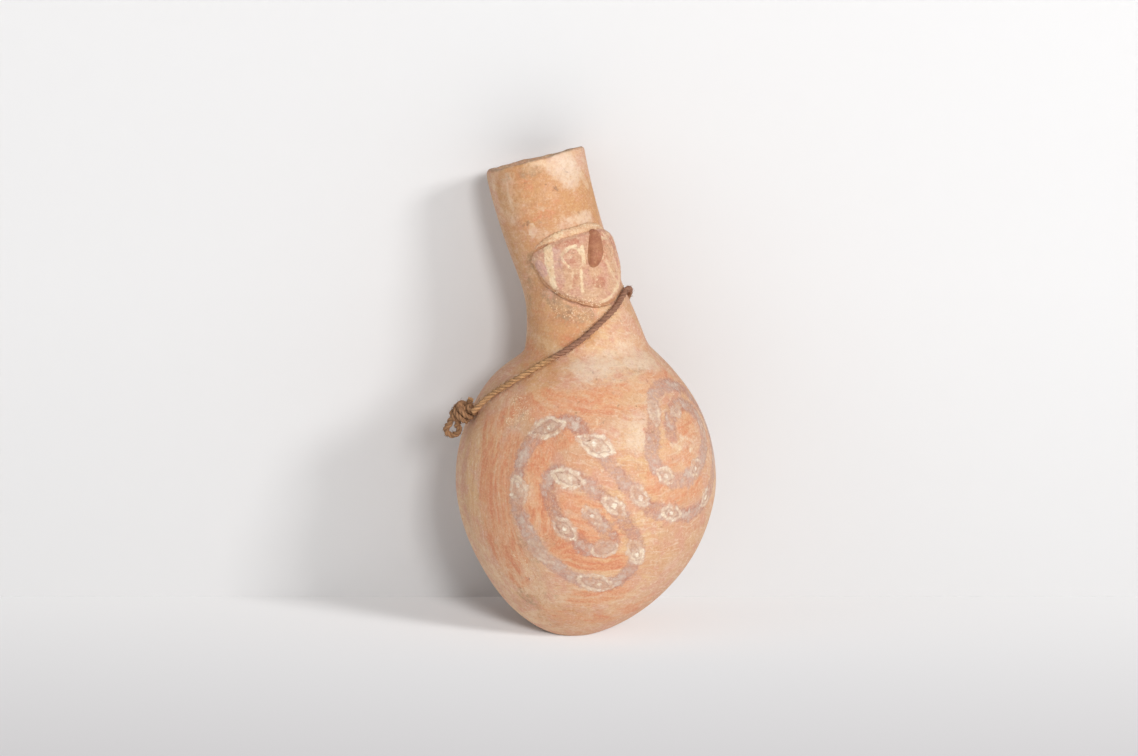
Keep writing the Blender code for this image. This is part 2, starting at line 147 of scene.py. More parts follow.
@dataclass(frozen=True)
class Skin:
    """The turned form of the bottle, which leans and tips with its neck. Lengths in metres."""

    belly_height: float = 63.5 * MM
    foot_height: float = 119 * MM
    bottle_height: float = 195 * MM
    base_flat_radius: float = 9 * MM
    belly_radius: float = 53.5 * MM
    foot_radius: float = 25 * MM
    foot_fillet: float = 2.5 * MM
    neck_radius: float = 19.4 * MM
    mouth_radius: float = 20.5 * MM
    neck_taper_length: float = 22 * MM
    lower_power: float = 1.75
    foot_blend: float = 1.5 * MM
    taper_blend: float = 0.9 * MM
    body_wall: float = 4.6 * MM
    base_wall: float = 6 * MM
    neck_wall: float = 4 * MM
    belly_shift_side: float = 4.1 * MM
    belly_shift_front: float = 2.9 * MM
    neck_lean_side: float = 12.5 * MM
    neck_lean_back: float = 18 * MM
    mouth_tip_side: float = 13.6 * MM
    mouth_tip_back: float = 14.4 * MM
    squaring_start_share: float = 0.2
    squaring_length_share: float = 0.6
    probe: float = 0.5 * MM

    # How far the hand-built clay strays, by waves round it and by rings that climb and sway
    hand_wave: float = 0.2 * MM
    hand_waves: Sequence[Wave] = (
        (0.5, 2, 0, 0.031), (0.35, 3, 1.3, -0.055), (0.2, 5, 2.1, 0.09), (0.12, 9, 0, 0.17),
        (0.1, 14, 0.6, -0.23),
    )
    ring_wave: float = 0.3
    ring_climb: float = 0.21
    ring_sway: float = 1.7
    base_true: float = 12 * MM
    lip_true: float = 3 * MM

    def _below(self, radius: float, reach: float, height: Array) -> Array:
        """Radius of a bowl whose rim is at the belly and whose tip is reach below it."""
        share = np.clip((self.belly_height - height) / reach, 0, 1)
        return radius * (1 - share**self.lower_power) ** (1 / self.lower_power)

    def _above(self, radius: float, reach: float, height: Array) -> Array:
        """Radius of a dome that stands on the belly."""
        share = np.clip((height - self.belly_height) / reach, 0, 1)
        return radius * np.sqrt(1 - share**2)

    def _dome_reach(self) -> float:
        """How high the dome would close if the neck didn't cut it."""
        foot_share = (self.foot_radius - self.foot_fillet) / self.belly_radius
        return (self.foot_height - self.belly_height) / math.sqrt(1 - foot_share**2)

    def _neck(self, height: Array) -> Array:
        """Find the neck's outer radius, a cone off the foot and then a tube that flares to the mouth.

        Args:
            height: heights on the upright form.

        Returns:
            The radius at each.
        """
        slope = (self.foot_radius - self.neck_radius) / self.neck_taper_length
        cone = self.foot_radius - slope * (height - self.foot_height)
        flare_start = self.foot_height + self.neck_taper_length
        flare = smooth((height - flare_start) / (self.bottle_height - flare_start))
        tube = self.neck_radius + (self.mouth_radius - self.neck_radius) * flare
        return soft_max(cone, tube, self.taper_blend)

    def radius(self, height: Array) -> Array:
        """Find the outer radius of the upright form.

        Args:
            height: heights on it.

        Returns:
            The radius at each.
        """
        flat_share = self.base_flat_radius / self.belly_radius
        reach = self.belly_height / (1 - flat_share**self.lower_power) ** (1 / self.lower_power)
        bowl = self._below(self.belly_radius, reach, height)
        dome = self._above(self.belly_radius, self._dome_reach(), height)
        upper = soft_max(dome, self._neck(height), self.foot_blend)
        return np.where(height <= self.belly_height, bowl, upper)

    def bore(self, height: Array) -> Array:
        """Find the inner radius of the upright form.

        Args:
            height: heights on it.

        Returns:
            The radius at each.
        """
        inner = self.belly_radius - self.body_wall
        bowl = self._below(inner, self.belly_height - self.base_wall, height)
        dome = self._above(inner, self._dome_reach() - self.body_wall, height)
        upper = soft_max(dome, self._neck(height) - self.neck_wall, self.foot_blend)
        return np.where(height <= self.belly_height, bowl, upper)

    def centre(self, height: Array) -> Array:
        """Find the middle of the ring at each height.

        Args:
            height: heights on the upright form.

        Returns:
            The points, with their coordinates in the last dimension.
        """
        belly_share = 1 - (1 - np.minimum(height / self.belly_height, 1)) ** 3
        neck_share = (height - self.foot_height) / (self.bottle_height - self.foot_height)
        lean_share = (np.maximum(neck_share, 0) + smooth(neck_share)) / 2
        side = self.belly_shift_side * belly_share - self.neck_lean_side * lean_share
        back = self.neck_lean_back * lean_share - self.belly_shift_front * belly_share
        return np.stack([side, back, height], axis=-1)

    def axis(self, height: Array) -> Array:
        """Find the way that each height's ring faces: upright on the body, tipped at the mouth.

        Args:
            height: heights on the upright form.

        Returns:
            Directions of length 1, with their coordinates in the last dimension.
        """
        length = self.bottle_height - self.foot_height
        start = self.foot_height - self.squaring_start_share * length
        tipped = smooth((height - start) / (self.squaring_length_share * length))
        upright = np.full_like(tipped, length)
        return unit(np.stack([-self.mouth_tip_side * tipped, self.mouth_tip_back * tipped, upright], -1))

    def lean(self, radius: Array, turn: Array, height: Array) -> Array:
        """Carry points of the upright form to their places on the leaning bottle.

        Args:
            radius: distance from the upright axis.
            turn: degrees from the face.
            height: height on the upright form.

        Returns:
            The points, with their coordinates in the last dimension.
        """
        radius, turn, height = np.broadcast_arrays(radius, turn, height)
        angle = np.radians(turn)
        x, y = radius * np.sin(angle), -radius * np.cos(angle)
        tip_x, tip_y, upright = np.moveaxis(self.axis(height), -1, 0)
        across = (tip_x * y - tip_y * x) / (1 + upright)
        turned = [x * upright - tip_y * across, y * upright + tip_x * across, -(tip_x * x + tip_y * y)]
        return self.centre(height) + np.stack(turned, axis=-1)

    def normal(self, turn: Array, height: Array) -> Array:
        """Find the way out of the clay.

        Args:
            turn: degrees from the face.
            height: heights on the upright form.

        Returns:
            Directions of length 1, with their coordinates in the last dimension.
        """
        over, under = (self.lean(self.radius(h), turn, h) for h in (height + self.probe, height - self.probe))
        radius = self.radius(height)
        around = self.lean(radius, turn + 1, height) - self.lean(radius, turn - 1, height)
        return unit(np.cross(around, over - under))

    def place(self, turn: Array, height: Array, lift: Array) -> Array:
        """Find points off the smooth skin.

        Args:
            turn: degrees from the face.
            height: heights on the upright form.
            lift: how far outside the skin they stand.

        Returns:
            The points, with their coordinates in the last dimension.
        """
        turn, height, lift = np.broadcast_arrays(*(np.asarray(a, float) for a in (turn, height, lift)))
        skin = self.lean(self.radius(height), turn, height)
        return skin + lift[..., None] * self.normal(turn, height)

    def unevenness(self, turn: Array, height: Array) -> Array:
        """Find how far the hand-built clay strays from the smooth skin.

        Args:
            turn: degrees from the face.
            height: heights on the upright form.

        Returns:
            The distance at each place, outward.
        """
        angle, level = np.radians(turn), height / MM
        wave = ripple(self.hand_waves, angle, level)
        wave = wave + self.ring_wave * np.sin(self.ring_climb * level + self.ring_sway * np.sin(angle))
        ends = smooth(height / self.base_true) * smooth((self.bottle_height - height) / self.lip_true)
        return self.hand_wave * wave * ends

    def clay(self, turn: Array, height: Array, lift: Array) -> Array:
        """The points that stand lift outside the uneven clay."""
        turn, height = np.asarray(turn, float), np.asarray(height, float)
        return self.place(turn, height, lift + self.unevenness(turn, height))


SKIN = Skin()


# Meshes


def ring_mesh(name: str, rings: Array, first_pole: Array, last_pole: Array) -> Mesh:
    """Join closed rings of points into one closed skin.

    Args:
        name: the mesh's name.
        rings: (ring, point, coordinate). The points run anticlockwise seen from outside the last ring.
        first_pole: the point that closes the first ring.
        last_pole: the point that closes the last ring.

    Returns:
        The mesh, shaded smooth, whose vertices are the rings in order and then the two poles.
    """
    count, around, _ = rings.shape
    index = np.arange(count * around).reshape(count, around)
    after = np.roll(index, -1, axis=1)
    quads = np.stack([index[:-1], after[:-1], after[1:], index[1:]], axis=-1).reshape(-1, 4)
    first, last = count * around, count * around + 1
    fans = [(first, int(b), int(a)) for a, b in zip(index[0], after[0])]
    fans += [(int(a), int(b), last) for a, b in zip(index[-1], after[-1])]
    mesh = bpy.data.meshes.new(name)
    points = np.vstack([rings.reshape(-1, 3), first_pole, last_pole])
    mesh.from_pydata(points.tolist(), [], quads.tolist() + fans)
    mesh.shade_smooth()
    return mesh


def vertices(mesh: Mesh) -> Array:
    """Read a mesh's vertices.

    Args:
        mesh: the mesh.

    Returns:
        Their places, one a row.
    """
    flat = np.empty(len(mesh.vertices) * 3)
    mesh.vertices.foreach_get("co", flat)
    return flat.reshape(-1, 3)


def write_fields(mesh: Mesh, fields: dict[str, Array]) -> None:
    """Store numbers on a mesh's vertices.

    Args:
        mesh: the mesh.
        fields: for each field's name, one number a vertex.
    """
    for name, values in fields.items():
        field = mesh.attributes.new(name, "FLOAT", "POINT")
        field.data.foreach_set("value", np.ascontiguousarray(values, dtype=np.float32))


def add_piece(name: str, data: Mesh, replaced: Sequence[str]) -> Piece:
    """Put a finished mesh in the scene on the bottle's one body.

    Args:
        name: the piece's name.
        data: its mesh.
        replaced: the model's nodes that it stands for.

    Returns:
        The new object, which sits at the origin.
    """
    piece = bpy.data.objects.new(name, data)
    bpy.context.scene.collection.objects.link(piece)
    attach(piece, "root")
    if replaced:
        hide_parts(*replaced)
    LOG.info("%s: %d faces, for %s", name, len(data.polygons), ", ".join(replaced) or "the surface")
    return piece


# The painting, as places on the skin


def past_line(points: Array, line: Array, half_widths: Array) -> tuple[Array, Array]:
    """Measure points against a painted line.

    Args:
        points: the clay's points, in metres.
        line: the line's marks, in metres.
        half_widths: half the line's width at each mark, in mm.

    Returns:
        How far each point lies past the line's edge, in mm up to FAR, and the mark that it is nearest to.
    """
    past, mark = np.full(len(points), FAR), np.zeros(len(points))
    for i, (start, end) in enumerate(zip(line, line[1:])):
        run = end - start
        share = np.clip((points - start) @ run / (run @ run), 0, 1)
        gap = np.linalg.norm(points - start - share[:, None] * run, axis=1) / MM
        gap -= half_widths[i] + (half_widths[i + 1] - half_widths[i]) * share
        closer = gap < past
        past[closer], mark[closer] = gap[closer], i + share[closer]
    return past, mark


@dataclass(frozen=True)
class Stroke:
    """A painted or rubbed line through places of (turn, height in mm). Its two half widths are in mm."""

    half_widths: Place
    strength: float
    places: Sequence[Place]

    def reach(self, points: Array, lift: float) -> Array:
        """Measure points of the clay against the stroke.

        Args:
            points: the clay's points, in metres.
            lift: how far the stroke stands off the smooth skin, in metres.

        Returns:
            The distance past the stroke's edge in mm, negative on the stroke and FAR away from it.
        """
        turns, heights = np.array(self.places, float).T
        line = SKIN.place(turns, heights * MM, lift)
        if len(line) > 2:
            line = smooth_route(line, LINE_STEP)
        elif len(line) == 1:
            dot = 1e-6
            line = np.vstack([line, line + dot])
        room = (FAR + max(self.half_widths)) * MM
        near = np.all((points > line.min(0) - room) & (points < line.max(0) + room), axis=1)
        result = np.full(len(points), FAR)
        result[near] = past_line(points[near], line, np.linspace(*self.half_widths, len(line)))[0]
        return result


def strokes(*rows: tuple[Any, ...]) -> tuple[Stroke, ...]:
    """Make strokes from rows.

    Args:
        rows: for each stroke its half width, or those of its start and end, its strength and its places.

    Returns:
        The strokes.
    """
    return tuple(
        Stroke(width if isinstance(width, tuple) else (width, width), strength, places)
        for width, strength, *places in rows
    )


@dataclass(frozen=True)
class Oval:
    """A painted almond with a pupil. Turn in degrees, lengths in mm, slope in degrees up from level.

    Its outline, its fill and its pupil are each painted as strongly as that field says, from 0 to 1.
    """

    turn: float
    height: float
    half_length: float
    half_width: float
    slope: float
    outline: float
    fill: float
    pupil: float
    pupil_shift: float = 0

    def measure(self, points: Array) -> tuple[Array, Array]:
        """Measure points against the almond.

        Args:
            points: the clay's points, in metres.

        Returns:
            How far they lie outside its outline and outside its pupil, in mm.
        """
        reach_through, pupil_radius, pupil_stretch = 3.5, 0.75, 1.25
        turn, height = np.array(self.turn), np.array(self.height * MM)
        east = unit(SKIN.place(turn + 1, height, 0) - SKIN.place(turn - 1, height, 0))
        north = np.cross(SKIN.normal(turn, height), east)
        angle = math.radians(self.slope)
        offset = (points - SKIN.place(turn, height, 0)) / MM
        along = offset @ (east * math.cos(angle) + north * math.sin(angle))
        across = offset @ (north * math.cos(angle) - east * math.sin(angle))
        depth = offset @ np.cross(east, north)
        share = np.abs(across) / self.half_width + (along / self.half_length) ** 2 - 1
        outside = np.where(np.abs(depth) < reach_through, np.minimum(share * self.half_width, FAR), FAR)
        pupil = np.hypot((along - self.pupil_shift) / pupil_stretch, across) - pupil_radius
        return outside, np.where(outside < 0, pupil, FAR)


Zones = dict[str, tuple[float, Sequence[Stroke]]]
Marks = dict[str, Sequence[Stroke]]

# Each row is turn, height in mm, and how brown the slip is there, from lavender grey at 0 to red brown at 1
BAND = (
    (-33, 58, 0.8), (-27.3, 53.1, 0.9), (-23, 47.4, 0.9), (-26.3, 43.9, 0.8), (-33.8, 44.3, 0.7),
    (-40.1, 48.6, 0.6), (-44.3, 53.1, 0.7), (-48.6, 58.7, 0.8), (-50.9, 64.8, 0.9), (-51.2, 70.9, 0.8),
    (-48.8, 75.3, 0.6), (-43, 74.6, 0.5), (-36, 71.6, 0.5), (-30.1, 67.6, 0.6), (-23.5, 62.2, 0.7),
    (-17.7, 54.7, 0.8), (-12.6, 47.9, 0.9), (-10, 41, 0.7), (-12, 33, 0.7), (-18.8, 28.1, 0.6),
    (-28.3, 27.9, 0.4), (-39.3, 30.9, 0.2), (-49.4, 35.9, 0.1), (-56.8, 41.9, 0), (-62.7, 52, 0),
    (-65.7, 60.7, 0.3), (-65.3, 68.2, 0.3), (-64.9, 76.8, 0.4), (-62.2, 84.7, 0.5), (-55.7, 91.5, 0.5),
    (-46.1, 94.4, 0.9), (-38.4, 92.5, 0.9), (-30.8, 86.1, 0.4), (-25.2, 79, 0.2), (-20, 73.4, 0.1),
    (-12.5, 65.4, 0.3), (-6.5, 60.3, 0.7), (-2.1, 58.2, 0.5), (5.6, 56.8, 0.4), (16.6, 55, 0.5),
    (25.6, 56.7, 0.5), (32.5, 61, 0.3), (39, 66, 0.3), (45.2, 72, 0.2), (49.5, 79.5, 0.2),
    (51, 87.5, 0.3), (48.5, 95.5, 0.4), (40, 102.6, 0.4), (23.3, 106, 0.6), (8.5, 103.6, 0.3),
    (2.4, 96.7, 0), (-2, 88.4, 0.8), (-4.6, 80.8, 0.1), (-1.7, 75, 0.1), (1.9, 71.8, 0.2),
    (10.8, 69.3, 0.1), (21, 71.9, 0.1), (30.8, 77, 0.2), (37.7, 84.8, 0.3), (38.6, 91.4, 0.5),
    (32, 96.8, 0.7), (19.4, 98, 0.8), (11.3, 93.6, 0.6), (9, 88, 0.7),
)
BAND_HALF_WIDTH = 3.1

OVALS = (
    Oval(-54.2, 92, 8.4, 4.5, 19, 1, 0.5, 1, 0.5),
    Oval(-30.8, 86.1, 8.8, 4.7, -23, 1, 0.95, 0.8, -0.8),
    Oval(-43, 73.3, 7.8, 4.2, -17, 0.95, 0.75, 0.6, 0.8),
    Oval(-64.9, 67.3, 6.8, 4.4, -71, 0.7, 0.85, 0.9, -1.5),
    Oval(-23.5, 62.2, 7, 3.3, -39, 0.85, 0.55, 1, 0.4),
    Oval(-32.4, 58, 6, 3, -49, 0.55, 0.25, 0.8, 0),
    Oval(-44.3, 52.5, 7.6, 4.1, -44, 0.95, 0.4, 1, 0),
    Oval(-26.3, 44, 6.2, 4.3, 12, 0.65, 0.5, 0),
    Oval(-10.6, 41.7, 7.6, 3.5, -59, 0.9, 0.7, 0.9, 1.5),
    Oval(-56.8, 41.9, 7.3, 3.8, -46, 0.3, 0.6, 0),
    Oval(-29.2, 28.6, 8.8, 4.5, -21, 0.9, 0.6, 0.9, 2),
    Oval(1.9, 72.4, 5.2, 3.8, -30, 0.95, 0.7, 0.7, 0),
    Oval(22, 73.3, 5, 3.6, 30, 0.7, 0.25, 0.9, 0),
    Oval(30.4, 60, 5.6, 3.6, 40, 0.95, 0.4, 1, 0),
    Oval(5.3, 57, 6.6, 3.5, -18, 0.95, 0.45, 1, 0),
    Oval(-11.8, 65.2, 6, 3.6, -50, 0.75, 0.6, 0.7, 0.8),
    Oval(37.8, 84.7, 5.2, 3, 68, 0.7, 0.25, 0.4, 0),
    Oval(2.4, 96.7, 6.6, 3.5, 82, 0.45, 0.85, 0),
    Oval(18.2, 96.2, 4.6, 2.5, 17, 0.6, 0.5, 0),
    Oval(46, 71.8, 4.4, 2.2, 70, 0.6, 0.3, 0.4, 0),
)

# Painted marks, with hard edges. Each row is half width in mm, strength, and the places passed
BODY_MARKS: Marks = {
    "cream": strokes(
        (0.8, 0.8, (7.3, 84.3), (13.6, 82)),
        (0.8, 0.7, (15.7, 86.8), (23.5, 83.7)),
        (1, 0.9, (19.5, 80.7)),
        (0.9, 0.8, (21.8, 70.2)),
        (0.55, 1, (-29.2, 95.6), (-29.9, 93.4)),
        (1.3, 0.6, (-56.4, 170), (-58.6, 168.2)),
        (1.3, 0.5, (-55.8, 168.4)),
        (0.8, 0.45, (-58.2, 166.9)),
        (1.5, 0.5, (24.1, 184.3), (28, 182), (31, 179.9)),
        (0.5, 0.35, (-73, 189), (-75, 184), (-74, 178)),
        (0.7, 0.5, (-36.2, 60.6), (-34.6, 61.2)),
        (0.9, 0.35, (-41, 176.2), (-37.5, 175.6)),
    ),
    "dark": strokes(
        (0.35, 0.9, (-20, 182.9), (-17.2, 182), (-14.6, 181.6)),
        (0.3, 0.7, (-16.6, 183), (-15.2, 180.6)),
        (0.5, 0.7, (-27.8, 184.4)),
        (0.4, 0.5, (-50.8, 187.3), (-48.6, 187.2)),
        (0.45, 0.8, (-61.6, 170.8), (-58.4, 172.2)),
        (0.5, 0.6, (-67.4, 171), (-64, 171.6)),
        (0.3, 0.4, (-2, 188.4), (1, 187)),
        (0.6, 0.5, (-46, 135.2), (-42, 135)),
        (0.5, 0.5, (-28, 133), (-27, 131.6)),
        (0.5, 0.4, (-22, 132.6), (-21.6, 131.4)),
    ),
}

# Where slips and dirt are rubbed on, with how far each fades past its strokes in mm, and the same rows.
# On "pale" one stroke is a painted highlight, on "upright" the burnishing strokes run up and down, and on "crumb"
# grains stand on the clay
BODY_ZONES: Zones = {
    "orange": (5, strokes(
        (2.6, 1, (-56.1, 85.1), (-57.4, 77.3), (-57.6, 68.8), (-56.2, 62), (-53.6, 56), (-50, 50),
         (-46.6, 45), (-42, 41), (-36, 38.6), (-28, 37.4), (-20, 38.6)),
        (2.2, 0.8, (-46, 88.5), (-51, 86), (-54.5, 82)),
        (1.6, 0.7, (-44.5, 63.8), (-38.6, 63), (-30.6, 60.8), (-25.3, 56), (-21, 50.5)),
        (1.6, 0.8, (-38.5, 56.5), (-34, 51), (-29, 49)),
        (1.6, 0.7, (-70.3, 86.1), (-72.1, 76.2), (-72.9, 67.5), (-73.2, 58.1), (-72, 48.4), (-68, 38.3)),
        (3.8, 0.8, (-86, 90), (-83, 74), (-82, 60), (-80, 44), (-74, 30)),
        (2.2, 0.75, (-38.7, 20.7), (-30.3, 21.5), (-21.2, 22.7), (-12.5, 25.5)),
        (3, 0.55, (-60, 14), (-45, 11), (-25, 10), (-4, 12), (14, 17)),
        (1.5, 0.9, (-79.1, 94.5), (-75.3, 98.4), (-66, 102.6), (-55.1, 103.6), (-45.7, 103), (-32.8, 103.8),
         (-14.7, 105.3), (9.1, 107.7), (28.3, 108.9)),
        (1.3, 0.6, (-40, 100), (-24, 100.6), (-8.8, 101.1), (-1.1, 104.4), (10.9, 108.3)),
        (1.8, 0.6, (-62, 96.5), (-52, 98.2), (-40, 97.4), (-33, 95)),
        (2.4, 0.75, (22.5, 93), (25.7, 90.2), (20.3, 88.5)),
        (2.2, 0.6, (4.2, 81.2), (8.5, 77.4), (16.3, 77)),
        (1.6, 0.55, (-6.4, 71), (3.8, 64.6), (16.4, 64.2), (24, 66)),
        (3.6, 0.36, (-63, 187), (-54, 181), (-60, 175), (-46, 177), (-32, 178.5)),
        (1, 0.55, (-88.9, 139.3), (-71.9, 131.3), (-52.6, 124.8)),
        (0.9, 0.55, (-62, 136), (-50, 131.5), (-39.9, 127.8)),
        (0.8, 0.42, (-45, 133), (-30, 129.5), (-18, 129.5)),
        (1.6, 0.4, (-104, 122), (-90, 118), (-80, 113)),
        (3, 0.5, (120, 92), (150, 88), (185, 90), (215, 84)),
        (3.4, 0.5, (95, 52), (130, 46), (170, 50), (205, 44), (235, 48)),
        (2.6, 0.4, (70, 74), (92, 78), (112, 72)),
    )),
    "pale": (6, strokes(
        (4, 0.7, (-34, 113.5), (-16, 115.5), (4, 116.5), (20, 113), (21, 107.8)),
        (1.3, 0.4, (-28, 109.2), (-9.7, 108.3), (12, 110.8)),
        (2.6, 0.5, (-9, 94), (-16, 92), (-20, 88)),
        (2, 0.8, (-12.3, 89.7), (-10.7, 86.1)),
        (0.7, 0.3, (-84.9, 92.6), (-81, 78.9), (-79.1, 66.9), (-78, 47.9), (-72, 30)),
        (1, 0.25, (-90, 84), (-88, 66), (-86, 48)),
        (1.6, 0.5, (-71, 190.5), (-74.3, 182.9), (-78, 176)),
        # A painted highlight on the neck below the lip
        (3.6, 0.8, (-6, 190.5), (2, 189), (6, 186.5)),
        (1.6, 0.45, (22, 190.5), (33, 189.3)),
        (1.3, 0.6, (-18.1, 166.9), (-1.6, 167.6), (12.9, 168.4)),
        (2.6, 0.35, (-70, 96), (-66, 92), (-72, 90)),
        (3, 0.3, (18, 36), (10, 24), (0, 16)),
        (4, 0.35, (140, 70), (170, 66), (200, 72)),
        (3, 0.25, (-74, 15), (-44, 10), (-10, 9), (18, 15)),
    )),
    "grey": (3, strokes(
        (2, 0.62, (-63.7, 143.5), (-57.5, 139), (-47.1, 135.4), (-36.4, 134.1), (-26, 132.6)),
        (1, 0.4, (-60, 134), (-48, 131), (-36, 130.5)),
        (1.3, 0.5, (-84.7, 150.9), (-77, 155), (-69.7, 158.6)),
        (2.6, 0.35, (-88.6, 148.4), (-94.8, 142.2)),
        (1.1, 0.5, (-50, 191.6), (-40, 191.6), (-33, 191)),
        (1.2, 0.35, (-74.5, 190.8), (-66, 191.6)),
        (2.2, 0.4, (-74.5, 21.5), (-66.9, 12.1)),
        (2, 0.45, (-56, 21.6), (-52.6, 21.2)),
        (1.6, 0.3, (-77, 100.2), (-70, 96), (-75, 92)),
        (0.8, 0.3, (-30, 110.5), (-12, 109.6), (8, 111.6)),
        (2.4, 0.35, (-66, 47), (-60, 40)),
    )),
    "crumb": (3, strokes(
        (1.6, 1, (-77, 100.6), (-70.4, 97.6), (-74.6, 93.5), (-66.7, 96)),
        (0.9, 0.9, (-58, 138), (-47.1, 134.9), (-34, 133.2), (-20, 132.8)),
        (1.6, 0.6, (-12.3, 89.7), (-10.7, 86.1)),
        (1.5, 0.3, (-70, 38), (-62, 30)),
    )),
    "upright": (8, strokes(
        (12, 1, (-88, 94), (-86, 74), (-84, 52), (-80, 30)),
        (5, 1, (-57, 84), (-59, 68), (-57, 54)),
    )),
    "tan": (7, strokes(
        (9, 1, (-60, 184), (-40, 180), (-20, 177), (0, 176), (16, 174)),
        (6, 0.6, (-84, 170), (-76, 160), (-84, 148)),
        (5.5, 0.75, (-92, 138), (-74, 134), (-52, 130), (-38, 129)),
        (5, 0.6, (-98, 122), (-84, 116), (-66, 110)),
        (6, 0.4, (-72, 16), (-50, 12), (-20, 12)),
        (5, 0.4, (24, 160), (40, 150), (44, 130)),
        (10, 0.7, (120, 180), (160, 172), (200, 160), (180, 140)),
    )),
}


def zone_weight(points: Array, marks: Sequence[Stroke], fade: float, lift: float = 0.0) -> Array:
    """How strongly strokes tint each point.

    Args:
        points: the clay's points, in metres.
        marks: the rubbed strokes.
        fade: how far past a stroke's edge its tint reaches, in mm.
        lift: how far the strokes stand off the smooth skin, in metres.

    Returns:
        One number from 0 to 1 for each point.
    """
    weight = np.zeros(len(points))
    for stroke in marks:
        weight = np.maximum(weight, stroke.strength * smooth(1 - stroke.reach(points, lift) / fade))
    return weight


def slip_fields(points: Array, zones: Zones, marks: Marks, lift: float = 0.0) -> dict[str, Array]:
    """Measure where slips lie.

    Args:
        points: the clay's points, in metres.
        zones: for each rubbed slip how far it fades, in mm, and its strokes.
        marks: for each painted slip its strokes.
        lift: how far all of them stand off the smooth skin, in metres.

    Returns:
        Each zone's weight, from 0 to 1, and for each painted slip the distance in mm past the edge of its
        nearest stroke and, under its name and _strength, how strong that stroke is.
    """
    fields = {name: zone_weight(points, rubbed, fade, lift) for name, (fade, rubbed) in zones.items()}
    for name, painted in marks.items():
        distance, strength = np.full(len(points), FAR), np.zeros(len(points))
        for stroke in painted:
            reach = stroke.reach(points, lift)
            closer = reach < distance
            distance[closer], strength[closer] = reach[closer], stroke.strength
        fields |= {name: distance, name + "_strength": strength}
    return fields


# Materials


def add(tree: Tree, kind: str, *inputs: Any, named: dict[str, Any] | None = None, **settings: Any) -> Node:
    """Add a node with its settings and links.

    Args:
        tree: the node tree.
        kind: the node's type, short of "ShaderNode" where it starts with that.
        inputs: what its sockets in use get, in their order: a value, a socket, or a node whose first output
            in use feeds it.
        named: what more of its sockets get, by name.
        settings: its properties.

    Returns:
        The new node.
    """
    node = tree.nodes.new(kind if "Node" in kind else "ShaderNode" + kind)
    for name, value in settings.items():
        setattr(node, name, value)
    in_use = [socket for socket in node.inputs if socket.enabled]
    wanted = list(zip(in_use, inputs))
    wanted += [(socket, named[socket.name]) for socket in in_use if named and socket.name in named]
    for socket, value in wanted:
        if isinstance(value, Node):
            value = next(output for output in value.outputs if output.enabled)
        if isinstance(value, bpy.types.NodeSocket):
            tree.links.new(value, socket)
        else:
            socket.default_value = value
    return node


def blank(owner: Material | bpy.types.World) -> Tree:
    """Empty the node tree of a new material or world.

    Args:
        owner: the material or world.

    Returns:
        Its tree.
    """
    owner.use_nodes = True
    owner.node_tree.nodes.clear()
    return owner.node_tree


def linear(code: str) -> tuple[float, float, float, float]:
    """Turn an sRGB hex value into a linear colour."""
    parts = [int(code[i : i + 2], 16) / 255 for i in (1, 3, 5)]
    return (*(p / 12.92 if p <= 0.04045 else ((p + 0.055) / 1.055) ** 2.4 for p in parts), 1.0)


def tint(tree: Tree, under: Any, colour: str, noise: Any, window: tuple[float, float], share: float) -> Node:
    """Tint what lies below with a colour where a noise passes a window.

    Args:
        tree: the material's tree.
        under: the colour below.
        colour: the tint's hex value.
        noise: the noise's node or socket.
        window: where the tint starts and where it is full.
        share: how much of the tint is laid at most.

    Returns:
        The node of the blended colour.
    """
    amount = add(tree, "MapRange", noise, *window, 0, share)
    return add(tree, "Mix", amount, under, linear(colour), data_type="RGBA")


class Measure(Enum):
    """What a coat's field holds."""

    DISTANCE = "mm outside the painted edge"
    LINE = "mm outside the painted edge, painted only close to it"
    WEIGHT = "0 to 1"


